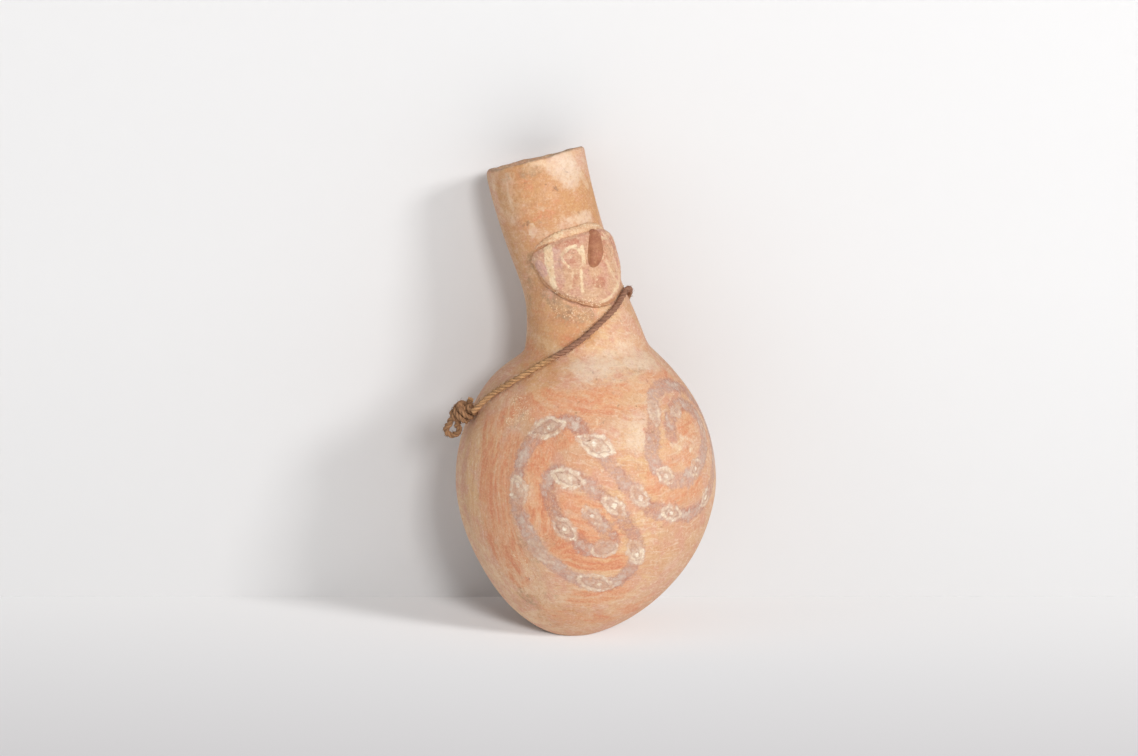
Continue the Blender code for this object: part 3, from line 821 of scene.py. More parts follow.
@dataclass(frozen=True)
class Coat:
    """One thin, worn layer over what lies below it: slip, dirt, and on some coats painted shade or a painted highlight.
    Widths in mm for painted edges.
    """

    field: str
    measure: Measure
    colour: str
    other_colour: str
    edge: float = 0.0
    width: float = 0.5
    softness: float = 0.35
    waver: float = 3.0
    worn: tuple[float, float] = (0.42, 0.54)
    left: float = 0.3
    opacity: float = 0.8
    dotted: float = 0.0
    brushed: float = 0.0
    strength_field: str = ""
    tone_field: str = ""

    def lay(self, tree: Tree, under: Node, noises: Sequence[Any]) -> Node:
        """Lay the worn coat over what lies below.

        Args:
            tree: the material's tree.
            under: the colour below.
            noises: the coarse and the fine noise that shift its edge, the one that wears it, the drops and
                the strokes of the brush.

        Returns:
            The node of the colour with the coat on it.
        """
        put = partial(add, tree)
        coarse, fine, wear, drops, brush = noises
        if self.brushed:
            wear = put("Mix", self.brushed, wear, brush, data_type="FLOAT")
        cover = self._cover(tree, coarse, fine)
        kept = put("MapRange", wear, *self.worn, self.left * self.opacity, self.opacity)
        amount = put("Math", cover, kept, operation="MULTIPLY")
        if self.dotted:
            dots = put("MapRange", drops, 0.5, 0.3, 1 - self.dotted)
            amount = put("Math", amount, dots, operation="MULTIPLY")
        if self.strength_field:
            strength = put("Attribute", attribute_name=self.strength_field).outputs["Fac"]
            amount = put("Math", amount, strength, operation="MULTIPLY")
        if self.tone_field:
            reading = put("Attribute", attribute_name=self.tone_field).outputs["Fac"]
            shifted = put("Math", coarse, 2.4, reading, operation="MULTIPLY_ADD")
            tone = put("MapRange", shifted, 1.2, 2.2)
        else:
            tone = put("MapRange", fine, 0.38, 0.62)
        colour = put("Mix", tone, linear(self.colour), linear(self.other_colour), data_type="RGBA")
        return put("Mix", amount, under, colour, data_type="RGBA")

    def _cover(self, tree: Tree, coarse: Any, fine: Any) -> Node:
        """Find where the coat was laid, with a wavering edge.

        Args:
            tree: the material's tree.
            coarse: the noise of the edge's long waves.
            fine: the noise of its short ones.

        Returns:
            The node that gives 1 where it was laid and 0 elsewhere.
        """
        put = partial(add, tree)
        reading = put("Attribute", attribute_name=self.field).outputs["Fac"]
        shaken = put("Math", coarse, self.waver, reading, operation="MULTIPLY_ADD")
        shaken = put("Math", fine, self.waver, shaken, operation="MULTIPLY_ADD")
        # Two noises of 0.5 on average lift the reading by waver
        middle, soft = self.edge + self.waver, -self.softness
        if self.measure is Measure.WEIGHT:
            middle, soft = 0.5 + self.waver, self.softness
        elif self.measure is Measure.LINE:
            shaken = put("Math", shaken, middle, operation="SUBTRACT")
            shaken = put("Math", shaken, operation="ABSOLUTE")
            middle = self.width
        return put("MapRange", shaken, middle - soft, middle + soft, interpolation_type="SMOOTHSTEP")


@dataclass(frozen=True)
class Clay:
    """A low-fired clay surface: a ground with burnishing streaks, and coats of slip rubbed thin, some also carrying
    painted shade and a painted highlight.
    """

    name: str
    light: str
    dark: str
    streak: str
    pink: str
    yellow: str
    pale: str
    speck: str
    coats: Sequence[Coat] = ()
    roughness: tuple[float, float] = (0.5, 0.74)
    streak_share: float = 0.55
    speck_share: float = 0.3
    pit: str = "#7A4F3A"
    relief_depth: float = 0.3 * MM

    # The sizes of the marks in the clay, and the spacing of the drops in the slip
    cloud_size: float = 45.454545 * MM
    mottle_size: float = 6.6666667 * MM
    break_size: float = 2.0833333 * MM
    grain_size: float = 0.8 * MM
    drop_spacing: float = 1.4705882 * MM

    # Burnishing strokes, level or upright, and how far they sway with the clouds
    stroke_length: float = 23.809524 * MM
    upright_length: float = 31.25 * MM
    stroke_width: float = 2.3809524 * MM
    sway: tuple[float, float, float] = (12 * MM, 12 * MM, 30 * MM)
    fine_strokes: float = 3.4

    def make(self) -> Material:
        """Build the material.

        Returns:
            A Principled material whose colour, roughness and relief come from noise at real sizes.
        """
        material = bpy.data.materials.new(self.name)
        tree = blank(material)
        put = partial(add, tree)
        place = put("TexCoord").outputs["Object"]
        clouds = put("TexNoise", place, 1 / self.cloud_size, 4)
        mottle = put("TexNoise", place, 1 / self.mottle_size, 4, 0.6)
        breaks = put("TexNoise", place, 1 / self.break_size, 5, 0.7)
        grain = put("TexNoise", place, 1 / self.grain_size, 3, 0.7)
        drops = put("TexVoronoi", place, 1 / self.drop_spacing).outputs["Distance"]
        hues, mottles, breaking = (
            put("SeparateColor", noise.outputs["Color"]).outputs for noise in (clouds, mottle, breaks)
        )
        streaks, fine = self._strokes(tree, place, clouds)

        rubbing = put("Mix", 0.45, mottles[2], breaking[1], data_type="FLOAT")
        wear = put("Mix", 0.2, rubbing, grain, data_type="FLOAT")
        ground = tint(tree, linear(self.light), self.dark, hues[0], (0.4, 0.6), 1)
        for colour, noise, window, share in (
            (self.yellow, hues[1], (0.5, 0.64), 0.6),
            (self.streak, streaks, (0.44, 0.64), self.streak_share),
            (self.pink, mottles[0], (0.46, 0.62), 0.75),
            (self.pale, fine, (0.52, 0.68), 0.4),
            (self.pale, breaking[2], (0.54, 0.66), 0.55),
        ):
            ground = tint(tree, ground, colour, noise, window, share)
        for coat in self.coats:
            ground = coat.lay(tree, ground, (mottles[1], breaking[0], wear, drops, streaks))
        for colour, noise, window, share in (
            (self.speck, grain, (0.54, 0.66), self.speck_share),
            (self.pale, grain, (0.46, 0.36), self.speck_share),
            (self.pit, breaking[1], (0.33, 0.26), 0.4),
        ):
            ground = tint(tree, ground, colour, noise, window, share)

        relief = put("Math", fine, 0.5, breaks, operation="MULTIPLY_ADD")
        relief = put("Math", grain, 0.6, relief, operation="MULTIPLY_ADD")
        pits = put("MapRange", breaking[1], 0.26, 0.36, -0.7, 0)
        relief = put("Math", relief, pits, operation="ADD")
        bump = put("Bump", named={"Height": relief, "Distance": self.relief_depth, "Strength": 1})
        rough = put("MapRange", breaks, 0.35, 0.62, *self.roughness)
        look = {"Base Color": ground, "Roughness": rough, "Normal": bump, "IOR": 1.45}
        put("OutputMaterial", put("BsdfPrincipled", named=look))
        return material

    def _strokes(self, tree: Tree, place: Any, clouds: Node) -> tuple[Node, Node]:
        """Draw the burnishing strokes.

        Args:
            tree: the material's tree.
            place: the socket of the place on the bottle.
            clouds: the noise that sways them.

        Returns:
            The nodes of the broad strokes and of the fine ones.
        """
        put = partial(add, tree)
        swayed = put("VectorMath", clouds.outputs["Color"], self.sway, place, operation="MULTIPLY_ADD")
        length, steep_length, width = 1 / self.stroke_length, 1 / self.upright_length, 1 / self.stroke_width
        level = put("Mapping", swayed, named={"Scale": (length, length, width)})
        steep = put("Mapping", swayed, named={"Scale": (width, width, steep_length)})
        upright = put("Attribute", attribute_name="upright").outputs["Fac"]
        along = put("Mix", upright, level, steep, data_type="VECTOR")
        return put("TexNoise", along, 1, 5, 0.6), put("TexNoise", along, self.fine_strokes, 3)


DISTANCE, LINE, WEIGHT = Measure.DISTANCE, Measure.LINE, Measure.WEIGHT

# Buff earthenware, coil-built and burnished: warm, satin where it was rubbed, its painted slips worn thin
# Its grey, dark and pale coats also carry painted shade and a painted highlight
BODY_CLAY = Clay(
    name="burnished_buff_earthenware",
    light="#E6BF9A",
    dark="#D7A682",
    streak="#D4936C",
    pink="#D89B82",
    yellow="#E3B884",
    pale="#EFD5B8",
    speck="#B07556",
    coats=(
        Coat("tan", WEIGHT, "#C68A58", "#D19C66", softness=0.35, waver=1.0, worn=(0.38, 0.52), left=0.45,
             opacity=0.85),
        Coat("pale", WEIGHT, "#F0DAC6", "#EACFB2", softness=0.3, waver=1.3, left=0.4, opacity=0.75),
        Coat("orange", WEIGHT, "#E0925E", "#E5A77A", softness=0.4, waver=1.3, worn=(0.4, 0.56), left=0.3,
             opacity=0.85, brushed=0.7),
        Coat("orange", WEIGHT, "#CC7458", "#D58766", softness=0.3, waver=2.0, worn=(0.47, 0.58), left=0.0,
             opacity=0.6, brushed=0.6),
        Coat("grey", WEIGHT, "#94745C", "#AE9276", softness=0.3, waver=1.4, opacity=0.8),
        Coat("band", DISTANCE, "#C69C8F", "#B07262", softness=1.2, waver=4.6, worn=(0.4, 0.56), left=0.4,
             opacity=0.85, tone_field="band_tone"),
        Coat("band", DISTANCE, "#B16C5A", "#A4655A", edge=-0.4, softness=1.0, waver=6.0, worn=(0.44, 0.56),
             left=0.0, opacity=0.65),
        Coat("band", DISTANCE, "#E0D0BE", "#D2B8A6", edge=-0.9, softness=0.9, waver=7.0, worn=(0.46, 0.57),
             left=0.0, opacity=0.85),
        Coat("oval", DISTANCE, "#AE7463", "#C99880", edge=0.2, softness=0.6, waver=3.0, left=0.4,
             opacity=0.75),
        Coat("oval", DISTANCE, "#EFDDC6", "#DFC4A8", edge=-0.1, softness=0.6, waver=4.0, worn=(0.44, 0.55),
             left=0.12, opacity=0.95, strength_field="oval_fill"),
        Coat("oval", LINE, "#FCEFD9", "#EFD8BA", edge=-0.9, width=0.9, softness=0.6, waver=3.4,
             worn=(0.43, 0.54), left=0.12, opacity=1.0, dotted=0.5, strength_field="oval_outline"),
        Coat("oval", LINE, "#8F5647", "#A5705F", edge=-2.1, width=0.3, softness=0.4, waver=3.0, left=0.1,
             opacity=0.5, strength_field="oval_outline"),
        Coat("pupil", LINE, "#F2DFC6", "#E3C5A6", edge=0.95, width=0.3, softness=0.3, waver=2.6,
             worn=(0.44, 0.54), left=0.1, opacity=0.85, dotted=0.5, strength_field="oval_pupil"),
        Coat("pupil", DISTANCE, "#FFF8E8", "#F4E0C2", edge=0.1, softness=0.3, waver=2.0, left=0.5,
             opacity=1.0, strength_field="oval_pupil"),
        Coat("cream", DISTANCE, "#F6E5CB", "#ECCDA6", softness=0.3, waver=2.0, left=0.4, opacity=0.95,
             strength_field="cream_strength"),
        # Dark marks, and the painted shadow along the face's foot
        Coat("dark", DISTANCE, "#6A4E3E", "#7C5E4A", softness=0.25, waver=1.6, left=0.3, opacity=0.85,
             strength_field="dark_strength"),
    ),
    speck_share=0.26,
)

# The same clay inside the bottle, never burnished: dull and darker
INNER_CLAY = Clay(
    name="unburnished_earthenware",
    light="#C29474",
    dark="#A2795D",
    streak="#B27D5A",
    pink="#A97A62",
    yellow="#B68A62",
    pale="#CFA887",
    speck="#7E5B46",
    roughness=(0.75, 0.9),
)


# The turned clay


@dataclass
class TurnedClay:
    """The bottle's clay from the base over the lip and down the bore, luted and burnished into one skin."""

    # The mesh: columns close together on the painted front, rings closest where it is painted
    front_start: float = -88
    front_end: float = 62
    front_step: float = 0.62
    back_columns: int = 82
    ring_spans: Sequence[tuple[float, int]] = ((0, 16), (22, 94), (105, 26), (131, 56), (171, 28))
    base_rings: int = 3
    lip_rings: int = 7
    bore_rings: int = 21
    floor_rings: int = 8
    floor_curve_top: float = 24 * MM
    floor_curve_end: float = 0.03

    lip_land: float = 1.8 * MM
    lip_round: float = 1.6 * MM
    lip_wave: float = 0.22 * MM
    lip_waves: Sequence[Wave] = ((1, 2, 0.7, 0), (0.7, 5, 0, 0), (0.5, 11, 2, 0), (0.3, 23, 0, 0))
    lip_wave_depth: float = 4 * MM

    # How dark the lip is painted, as dirt from use and as painted shade of the mouth's inside,
    # and over how many rings outside and inside its edge
    lip_soil: float = 0.7
    soil_outside: int = 11
    soil_inside: int = 8
    soil_fade: int = 4

    def turns(self) -> Array:
        """Space the mesh's columns.

        Returns:
            Their turns.
        """
        front = np.arange(self.front_start, self.front_end, self.front_step)
        back = np.linspace(self.front_end, self.front_start + 360, self.back_columns, endpoint=False)
        return np.concatenate([front, back])

    def profile(self) -> tuple[Array, Array, int]:
        """Draw the mesh's rings, from the base up outside, over the lip and down inside.

        Returns:
            Their radii, their heights and how many of them are outside.
        """
        top = SKIN.bottle_height
        shoulder = top - self.lip_round
        starts, counts = zip(*self.ring_spans)
        ends = (*starts[1:], shoulder / MM)
        spans = [np.linspace(*span, endpoint=False) for span in zip(starts, ends, counts)]
        heights = np.concatenate(spans) * MM
        disc = np.linspace(0.25, 0.85, self.base_rings) * SKIN.base_flat_radius
        outer, inner = float(SKIN.radius(np.array(top))), float(SKIN.bore(np.array(top)))
        middle, reach = (outer + inner) / 2, (outer - inner - self.lip_land) / 2
        arc = np.linspace(0, math.pi / 2, self.lip_rings)
        over_radii = middle + self.lip_land / 2 + reach * np.cos(arc)
        over_heights = shoulder + self.lip_round * np.sin(arc)
        in_radii = middle - self.lip_land / 2 - reach * np.cos(arc[::-1])
        curve = np.linspace(1, self.floor_curve_end, self.floor_rings + 1)[1:] ** 2
        down = np.concatenate([
            np.linspace(shoulder, SKIN.foot_height, self.bore_rings + 1)[1:],
            np.linspace(SKIN.foot_height, self.floor_curve_top, self.bore_rings + 1)[1:],
            SKIN.base_wall + (self.floor_curve_top - SKIN.base_wall) * curve,
        ])
        radius = np.concatenate([disc, SKIN.radius(heights), over_radii, in_radii, SKIN.bore(down)])
        height = np.concatenate([disc * 0, heights, over_heights, over_heights[::-1], down])
        return radius, height, len(disc) + len(heights) + 2 * len(arc) - 2

    def build(self) -> Piece:
        """Make the mesh, paint it and dress it.

        Returns:
            The piece.
        """
        turn = self.turns()
        radius, height, outside = self.profile()
        is_outside = np.arange(len(radius)) < outside
        grid_turn, grid_height = np.meshgrid(turn, height)
        at_lip = smooth((height - SKIN.bottle_height + self.lip_wave_depth) / self.lip_wave_depth)[:, None]
        grid_height = grid_height + at_lip * self.lip_wave * ripple(self.lip_waves, np.radians(turn))
        radii = radius[:, None] + np.where(is_outside[:, None], SKIN.unevenness(grid_turn, grid_height), 0)
        base, floor = SKIN.centre(np.array([0.0, SKIN.base_wall]))
        mesh = ring_mesh("fired_clay", SKIN.lean(radii, grid_turn, grid_height), base, floor)

        # Grey on the lip, as dirt from use and as painted shade of the mouth's inside
        over_lip = np.arange(len(radius)) - outside
        soiled_and_shaded = smooth((over_lip + self.soil_outside) / self.soil_fade)
        soiled_and_shaded = self.lip_soil * soiled_and_shaded * smooth((self.soil_inside - over_lip) / self.soil_fade)
        shown = np.append(np.repeat(is_outside, len(turn)), [True, False])
        self.paint(mesh, shown, np.append(np.repeat(soiled_and_shaded, len(turn)), [0, 0]))
        mesh.materials.append(BODY_CLAY.make())
        mesh.materials.append(INNER_CLAY.make())
        # The faces are the rings' in order, then the fan of the base, then that of the floor
        inner_faces = np.arange(len(mesh.polygons)) >= outside * len(turn)
        inner_faces[(len(radius) - 1) * len(turn) : len(radius) * len(turn)] = False
        mesh.polygons.foreach_set("material_index", inner_faces.astype(np.int32))
        nodes = ("base_bowl", "shoulder_dome", "head_tube", "spout_tube", "mouth_rim")
        return add_piece("fired_clay", mesh, nodes)

    def paint(self, mesh: Mesh, shown: Array, soiled_and_shaded: Array) -> None:
        """Measure where the slips lie and store it on the vertices.

        Args:
            mesh: the clay's mesh.
            shown: which of its vertices are outside.
            soiled_and_shaded: how dark each is painted at the lip, as dirt from use and as painted shade of the mouth's
                inside.
        """
        points = vertices(mesh)
        # The dark marks take in the painted shadow along the face's foot
        marks = BODY_MARKS | {"dark": (*BODY_MARKS["dark"], Face().foot_dirt())}
        fields = slip_fields(points, BODY_ZONES, marks)
        for name in BODY_ZONES:
            fields[name] *= shown
        # The lip is greyed as dirt from use and as painted shade of the mouth's inside
        fields["grey"] = np.maximum(fields["grey"], soiled_and_shaded)

        turns, heights, browns = np.array(BAND).T
        line = smooth_route(np.column_stack([SKIN.place(turns, heights * MM, 0), browns * MM]), LINE_STEP)
        fields["band"], mark = past_line(points, line[:, :3], np.full(len(line), BAND_HALF_WIDTH))
        fields["band_tone"] = np.interp(mark, np.arange(len(line)), line[:, 3] / MM)

        fields["oval"], fields["pupil"] = np.full((2, len(points)), FAR)
        styles = np.zeros((3, len(points)))
        for oval in OVALS:
            outside, inside = oval.measure(points)
            closer = outside < fields["oval"]
            fields["oval"][closer], fields["pupil"][closer] = outside[closer], inside[closer]
            styles[:, closer] = np.array([[oval.outline], [oval.fill], [oval.pupil]])
        fields |= zip(("oval_outline", "oval_fill", "oval_pupil"), styles)
        for name in ("band", "oval", "pupil", *BODY_MARKS):
            fields[name][~shown] = FAR
        write_fields(mesh, fields)


# The face


@dataclass
class Face:
    """The pat of clay pressed on the neck, with its brow, eyes, nose and jaw. Turns in degrees."""

    turn: float = -3
    left_reach: float = 66
    right_reach: float = 50
    height: float = 156 * MM
    drop: float = 21.3 * MM
    rise: float = 7 * MM
    thickness: float = 2.6 * MM
    right_extra: float = 1 * MM
    edge_share: float = 0.6
    edge_power: float = 6
    jaw_power: float = 1.8
    brow_power: float = 2.5
    gap: float = 0.3 * MM
    # A painted shadow along the face's left and lower edge: its spokes in degrees, half width in mm and strength
    dirt_spokes: tuple[float, float, float] = (155, 331, 5)
    dirt_half_width: float = 0.75
    dirt_strength: float = 0.5

    # Swellings
    eye_turn: float = 22
    eye_rise: float = -2.6 * MM
    eye_radius: float = 3.4 * MM
    eye_swell: float = 0.7 * MM
    chin_swell: float = 0.5 * MM
    chin_width: float = 9 * MM
    chin_length: float = 4 * MM

    # Each eye's pressed rings: where, in shares of the socket, how wide, and how high or deep
    socket_in: float = 1
    socket_rise: float = 0.4 * MM
    socket_width: float = 3.9 * MM
    socket_height: float = 3.4 * MM
    socket_rings: Sequence[tuple[float, float, float]] = (
        (1, 0.24, 0.26 * MM), (0.6, 0.2, -0.24 * MM), (1.45, 0.22, -0.14 * MM),
    )
    mouth_left: float = 3
    mouth_drop: float = 13 * MM
    mouth_width: float = 3.4 * MM
    mouth_height: float = 1.1 * MM
    mouth_depth: float = 0.35 * MM
    jaw_ridge: float = 0.45 * MM
    jaw_ridge_share: float = 0.9
    jaw_ridge_width: float = 0.06
    jaw_ridge_drop: float = 4 * MM
    jaw_ridge_fade: float = 6 * MM
    hand_marks: float = 0.07 * MM

    # The rim: how worn it is, its waves, and down its side how much lift is left and how far out that is
    spokes: int = 300
    rings: int = 84
    rim_wear: float = 0.22
    rim_share: float = 0.1
    rim_waves: Sequence[Wave] = ((0.012, 7, 1, 0), (0.008, 13, 0, 0), (0.006, 29, 2, 0))
    rim_side: Sequence[Place] = ((0.72, 0.006), (0.42, 0.011), (0.12, 0.014), (-0.22, 0.016))
    sunk: float = 0.6 * MM
    # How many rings the darker rim of bare clay and painted shade reaches in, and its fade, more along the jaw
    bare_rings: float = 15
    bare_fade: float = 7
    jaw_bare_fade: float = 4

    band_width: float = 2.7 * MM
    band_squeeze: float = 0.7
    band_thickness: float = 1.7 * MM
    band_overlap: float = 0.1 * MM
    band_chip: float = 0.16 * MM
    band_end_share: float = 0.86
    band_end_thickness: float = 0.25
    band_stations: int = 150
    band_spokes: int = 20

    nose_length: float = 13.6 * MM
    nose_rise: float = 0.1 * MM
    nose_turn: float = 4
    nose_slant: float = 6.9
    nose_width: float = 6.2 * MM
    nose_top_width: float = 5.4 * MM
    nose_power: float = 2.6
    nose_projection: float = 3.6 * MM
    nose_top_share: float = 0.55
    nose_roundness: float = 0.97
    nose_root: float = 0.5 * MM
    nose_rim_share: float = 0.14
    nose_spokes: int = 72
    nose_rings: int = 30
    nose_skirt: Place = (1.03, 1.05)
    nose_rubbed_rim: float = 0.45

    def edge(self, angle: Array) -> Array:
        """Draw the panel's edge: a broad jaw below and a nearly straight brow above.

        Args:
            angle: the direction from the panel's middle, in radians.

        Returns:
            The edge's turns and its heights, as two rows.
        """
        across, along = np.cos(angle), np.sin(angle)
        share = squared(angle, np.where(along > 0, self.brow_power, self.jaw_power))
        reach = np.where(across > 0, self.right_reach, self.left_reach)
        rise = np.where(along > 0, self.rise, self.drop)
        return np.array([self.turn + reach * across * share, self.height + rise * along * share])

    def foot_dirt(self) -> Stroke:
        """A painted shadow on the neck along the face's left and lower edge, below the panel's step."""
        turns, heights = self.edge(np.radians(np.arange(*self.dirt_spokes)))
        return strokes((self.dirt_half_width, self.dirt_strength, *zip(turns, heights / MM)))[0]

    def share(self, turn: Array, height: Array) -> Array:
        """Find how far from the panel's middle places are.

        Args:
            turn: their turns.
            height: their heights.

        Returns:
            0 at the middle and 1 at the edge.
        """
        above = height > self.height
        power = np.where(above, self.brow_power, self.jaw_power)
        reach = np.where(turn < self.turn, self.left_reach, self.right_reach)
        across, along = np.abs(turn - self.turn) / reach, np.abs(height - self.height)
        along = along / np.where(above, self.rise, self.drop)
        return np.minimum((across**power + along**power) ** (1 / power), 1)

    @staticmethod
    def swell(turn: Array, height: Array, at: Place, width: float, length: float) -> Array:
        """Make a low round swelling.

        Args:
            turn: turns of places.
            height: their heights.
            at: the turn and height of the swelling's middle.
            width: its reach across.
            length: its reach up.

        Returns:
            1 at its middle, less further out.
        """
        across = np.radians(turn - at[0]) * SKIN.radius(height) / width
        along = (height - at[1]) / length
        return np.exp(-across * across - along * along)

    def lift(self, turn: Array, height: Array) -> Array:
        """Find how far the panel's face stands out from the neck.

        Args:
            turn: turns of places on it.
            height: their heights.

        Returns:
            The distance at each place.
        """
        share = self.share(turn, height)
        thickness = self.thickness + self.right_extra * smooth((turn - self.turn) / self.right_reach)
        lift = self.gap + thickness * (1 - (1 - self.edge_share) * share**self.edge_power)
        for side in (-1, 1):
            at = (self.turn + side * self.eye_turn, self.height + self.eye_rise)
            swelling = self.swell(turn, height, at, self.eye_radius, self.eye_radius)
            lift = lift + self.eye_swell * swelling * (1 - share**4)
        at = (self.turn, self.height - self.drop + self.chin_length)
        return lift + self.chin_swell * self.swell(turn, height, at, self.chin_width, self.chin_length)

    def carving(self, turn: Array, height: Array) -> Array:
        """Press the eyes' sockets and lids and the mouth into the panel, and the marks of the hand.

        Args:
            turn: turns of places on it.
            height: their heights.

        Returns:
            How far each place is raised.
        """
        relief = np.zeros_like(turn)
        for side in (-1, 1):
            across = turn - self.turn - side * (self.eye_turn - self.socket_in)
            across = np.radians(across) * SKIN.radius(height) / self.socket_width
            along = (height - self.height - self.eye_rise - self.socket_rise) / self.socket_height
            ring = np.hypot(across, along)
            ring = ring + 0.08 * np.sin(3 * np.arctan2(along, across) + 1) + 0.05 * np.sin(turn * 1.1)
            for middle, width, rise in self.socket_rings:
                relief += rise * np.exp(-(((ring - middle) / width) ** 2))
        at = (self.turn - self.mouth_left, self.height - self.mouth_drop)
        relief -= self.mouth_depth * self.swell(turn, height, at, self.mouth_width, self.mouth_height)
        jaw = smooth((self.height - self.jaw_ridge_drop - height) / self.jaw_ridge_fade)
        ridge = (self.share(turn, height) - self.jaw_ridge_share) / self.jaw_ridge_width
        relief += self.jaw_ridge * jaw * np.exp(-(ridge**2))
        level = height / MM
        rough = np.sin(0.9 * turn) * np.sin(1.7 * level) + 0.6 * np.sin(2.1 * turn + 0.9 * level)
        rough = rough + 0.8 * np.sin(3.3 * turn + 1) * np.sin(4.1 * level + 0.7 * turn)
        return relief + self.hand_marks * rough

    def build(self) -> list[Piece]:
        """Make the panel, the brow and the nose."""
        return [self.panel(), self.brow(), self.nose()]

    def panel(self) -> Piece:
        """Make the panel, its rim worn round and sunk into the neck.

        Returns:
            The piece.
        """
        angle = circle(self.spokes)
        middle = np.array([[self.turn], [self.height - (self.drop - self.rise) / 2]])
        out = self.edge(angle) - middle
        rim_wave = ripple(self.rim_waves, angle)
        rings = []
        for share in np.sin(np.linspace(0.02, 1, self.rings) * math.pi / 2):
            reach = share * (1 + rim_wave * share**3)
            place = middle + out * reach
            lift = self.lift(*place) + self.carving(*place)
            lift = lift * (1 - self.rim_wear * smooth(1 + (share - 1) / self.rim_share))
            rings.append(SKIN.clay(*place, lift))
        for left, beyond in self.rim_side:
            rings.append(SKIN.clay(*(middle + out * (reach + beyond)), lift * left))
        under, over = SKIN.clay(*middle, -self.sunk), SKIN.clay(*middle, self.lift(*middle))
        mesh = ring_mesh("face_panel_clay", np.array(rings)[::-1], under, over)
        fields = slip_fields(vertices(mesh), FACE_ZONES, FACE_MARKS, self.gap + self.thickness)

        # The rim is bare clay, darker brown, with painted shade of the panel's step; it reaches further in along the
        # jaw
        outer = -np.arange(1.0, len(rings) + 1)[:, None]
        jaw_side = smooth((0.25 - np.sin(angle)) / 0.5) * smooth((0.75 - np.cos(angle)) / 0.5)
        bare_and_shade, fade = self.bare_rings * (1 + jaw_side), self.bare_fade + self.jaw_bare_fade * jaw_side
        fields["rim"] = np.append(smooth((outer + bare_and_shade) / fade).ravel(), [1, 0])
        write_fields(mesh, fields)
        mesh.materials.append(FACE_CLAY.make())
        return add_piece("face_panel_clay", mesh, ("face_panel",))

    def brow(self) -> Piece:
        """Lay a flat coil along the panel's upper edge, thinned out at its ends.

        Returns:
            The piece.
        """
        left, right = self.left_reach * self.band_end_share, self.right_reach * self.band_end_share
        turns = np.linspace(self.turn - left, self.turn + right, self.band_stations)
        station = np.arange(self.band_stations)
        thinning = smooth(4 * np.minimum(station, station[::-1]) / self.band_stations)
        thinning = self.band_end_thickness + (1 - self.band_end_thickness) * thinning
        reach = np.where(turns < self.turn, self.left_reach, self.right_reach)
        share = np.abs(turns - self.turn) / reach
        edge_rise = self.rise * (1 - share**self.brow_power) ** (1 / self.brow_power)
        centre = self.height + edge_rise + self.band_width / 2 - self.band_overlap
        centre = centre + 0.12 * MM * np.sin(turns * 0.21) + 0.08 * MM * np.sin(turns * 0.53 + 1)
        rings = []
        for angle in circle(self.band_spokes):
            chip = self.band_chip * (np.sin(turns * 1.3 + 2 * angle) + 0.7 * np.sin(turns * 2.9 - angle))
            height = centre + thinning * (self.band_width * self.band_squeeze + chip) * math.cos(angle)
            out = math.copysign(abs(math.sin(angle)) ** 0.8, math.sin(angle))
            lift = thinning * self.band_thickness * (out if out > 0 else 0.5 * out)
            rings.append(SKIN.clay(turns, height, lift + 0.05 * MM * np.sin(turns * 0.9 + angle)))
        rings = np.array(rings).transpose(1, 0, 2)
        mesh = ring_mesh("brow_band_clay", rings, rings[0].mean(0), rings[-1].mean(0))
        mesh.materials.append(BROW_CLAY.make())
        return add_piece("brow_band_clay", mesh, ("brow_band",))

    def nose(self) -> Piece:
        """Press a drop of clay on the panel, broader below, its rim blended in.

        Returns:
            The piece.
        """
        angle = circle(self.nose_spokes)
        blunt = squared(angle, self.nose_power)
        rise = np.sin(angle) * blunt
        middle = np.array([[self.nose_turn], [self.height + self.nose_rise]])
        edge_height = middle[1] + self.nose_length / 2 * rise
        width = self.nose_width + (self.nose_top_width - self.nose_width) * (1 + rise) / 2
        half_turn = np.degrees(width / 2 / SKIN.radius(edge_height))
        edge_turn = self.nose_turn + self.nose_slant * rise + half_turn * np.cos(angle) * blunt
        out = np.array([edge_turn, edge_height]) - middle
        shares = [*np.sin(np.linspace(0.03, 1, self.nose_rings) * math.pi / 2), *self.nose_skirt]
        rings = []
        for share in shares:
            turn, height = middle + out * share
            inside = min(share, 1)
            upper_share = (height - middle[1]) / self.nose_length + 0.5
            growth = 1 + (self.nose_top_share - 1) * smooth(upper_share)
            form = self.nose_projection * growth * math.sqrt(1 - self.nose_roundness * inside**2)
            root = self.lift(turn, height) - (self.nose_root if share > 1 else 0)
            dents = self.hand_marks * np.sin(turn * 0.8 + height / MM * 1.3) * (1 - inside)
            rings.append(SKIN.clay(turn, height, root + form + dents))
        rings = np.array(rings)[::-1]
        mesh = ring_mesh("nose_clay", rings, SKIN.clay(*middle, self.thickness * 0.4), rings[-1].mean(0))
        rim = smooth(1 + (np.array(shares)[::-1] - 1) / self.nose_rim_share)
        rim = np.append(np.repeat(rim, self.nose_spokes), [1, 0])
        # Lighter at the rubbed rim, and on the top and right side as painted light
        rubbed = zone_weight(vertices(mesh), NOSE_LIT_SIDE, 1.6, 5 * MM)
        write_fields(mesh, {"rubbed": np.maximum(rubbed, self.nose_rubbed_rim * rim)})
        mesh.materials.append(NOSE_CLAY.make())
        return add_piece("nose_clay", mesh, ("nose",))


def mirrored(marks: Sequence[Stroke], about: float, strength: float) -> tuple[Stroke, ...]:
    """The strokes on the other side of a turn, fainter."""
    return tuple(
        Stroke(mark.half_widths, mark.strength * strength, [(2 * about - t, h) for t, h in mark.places])
        for mark in marks
    )
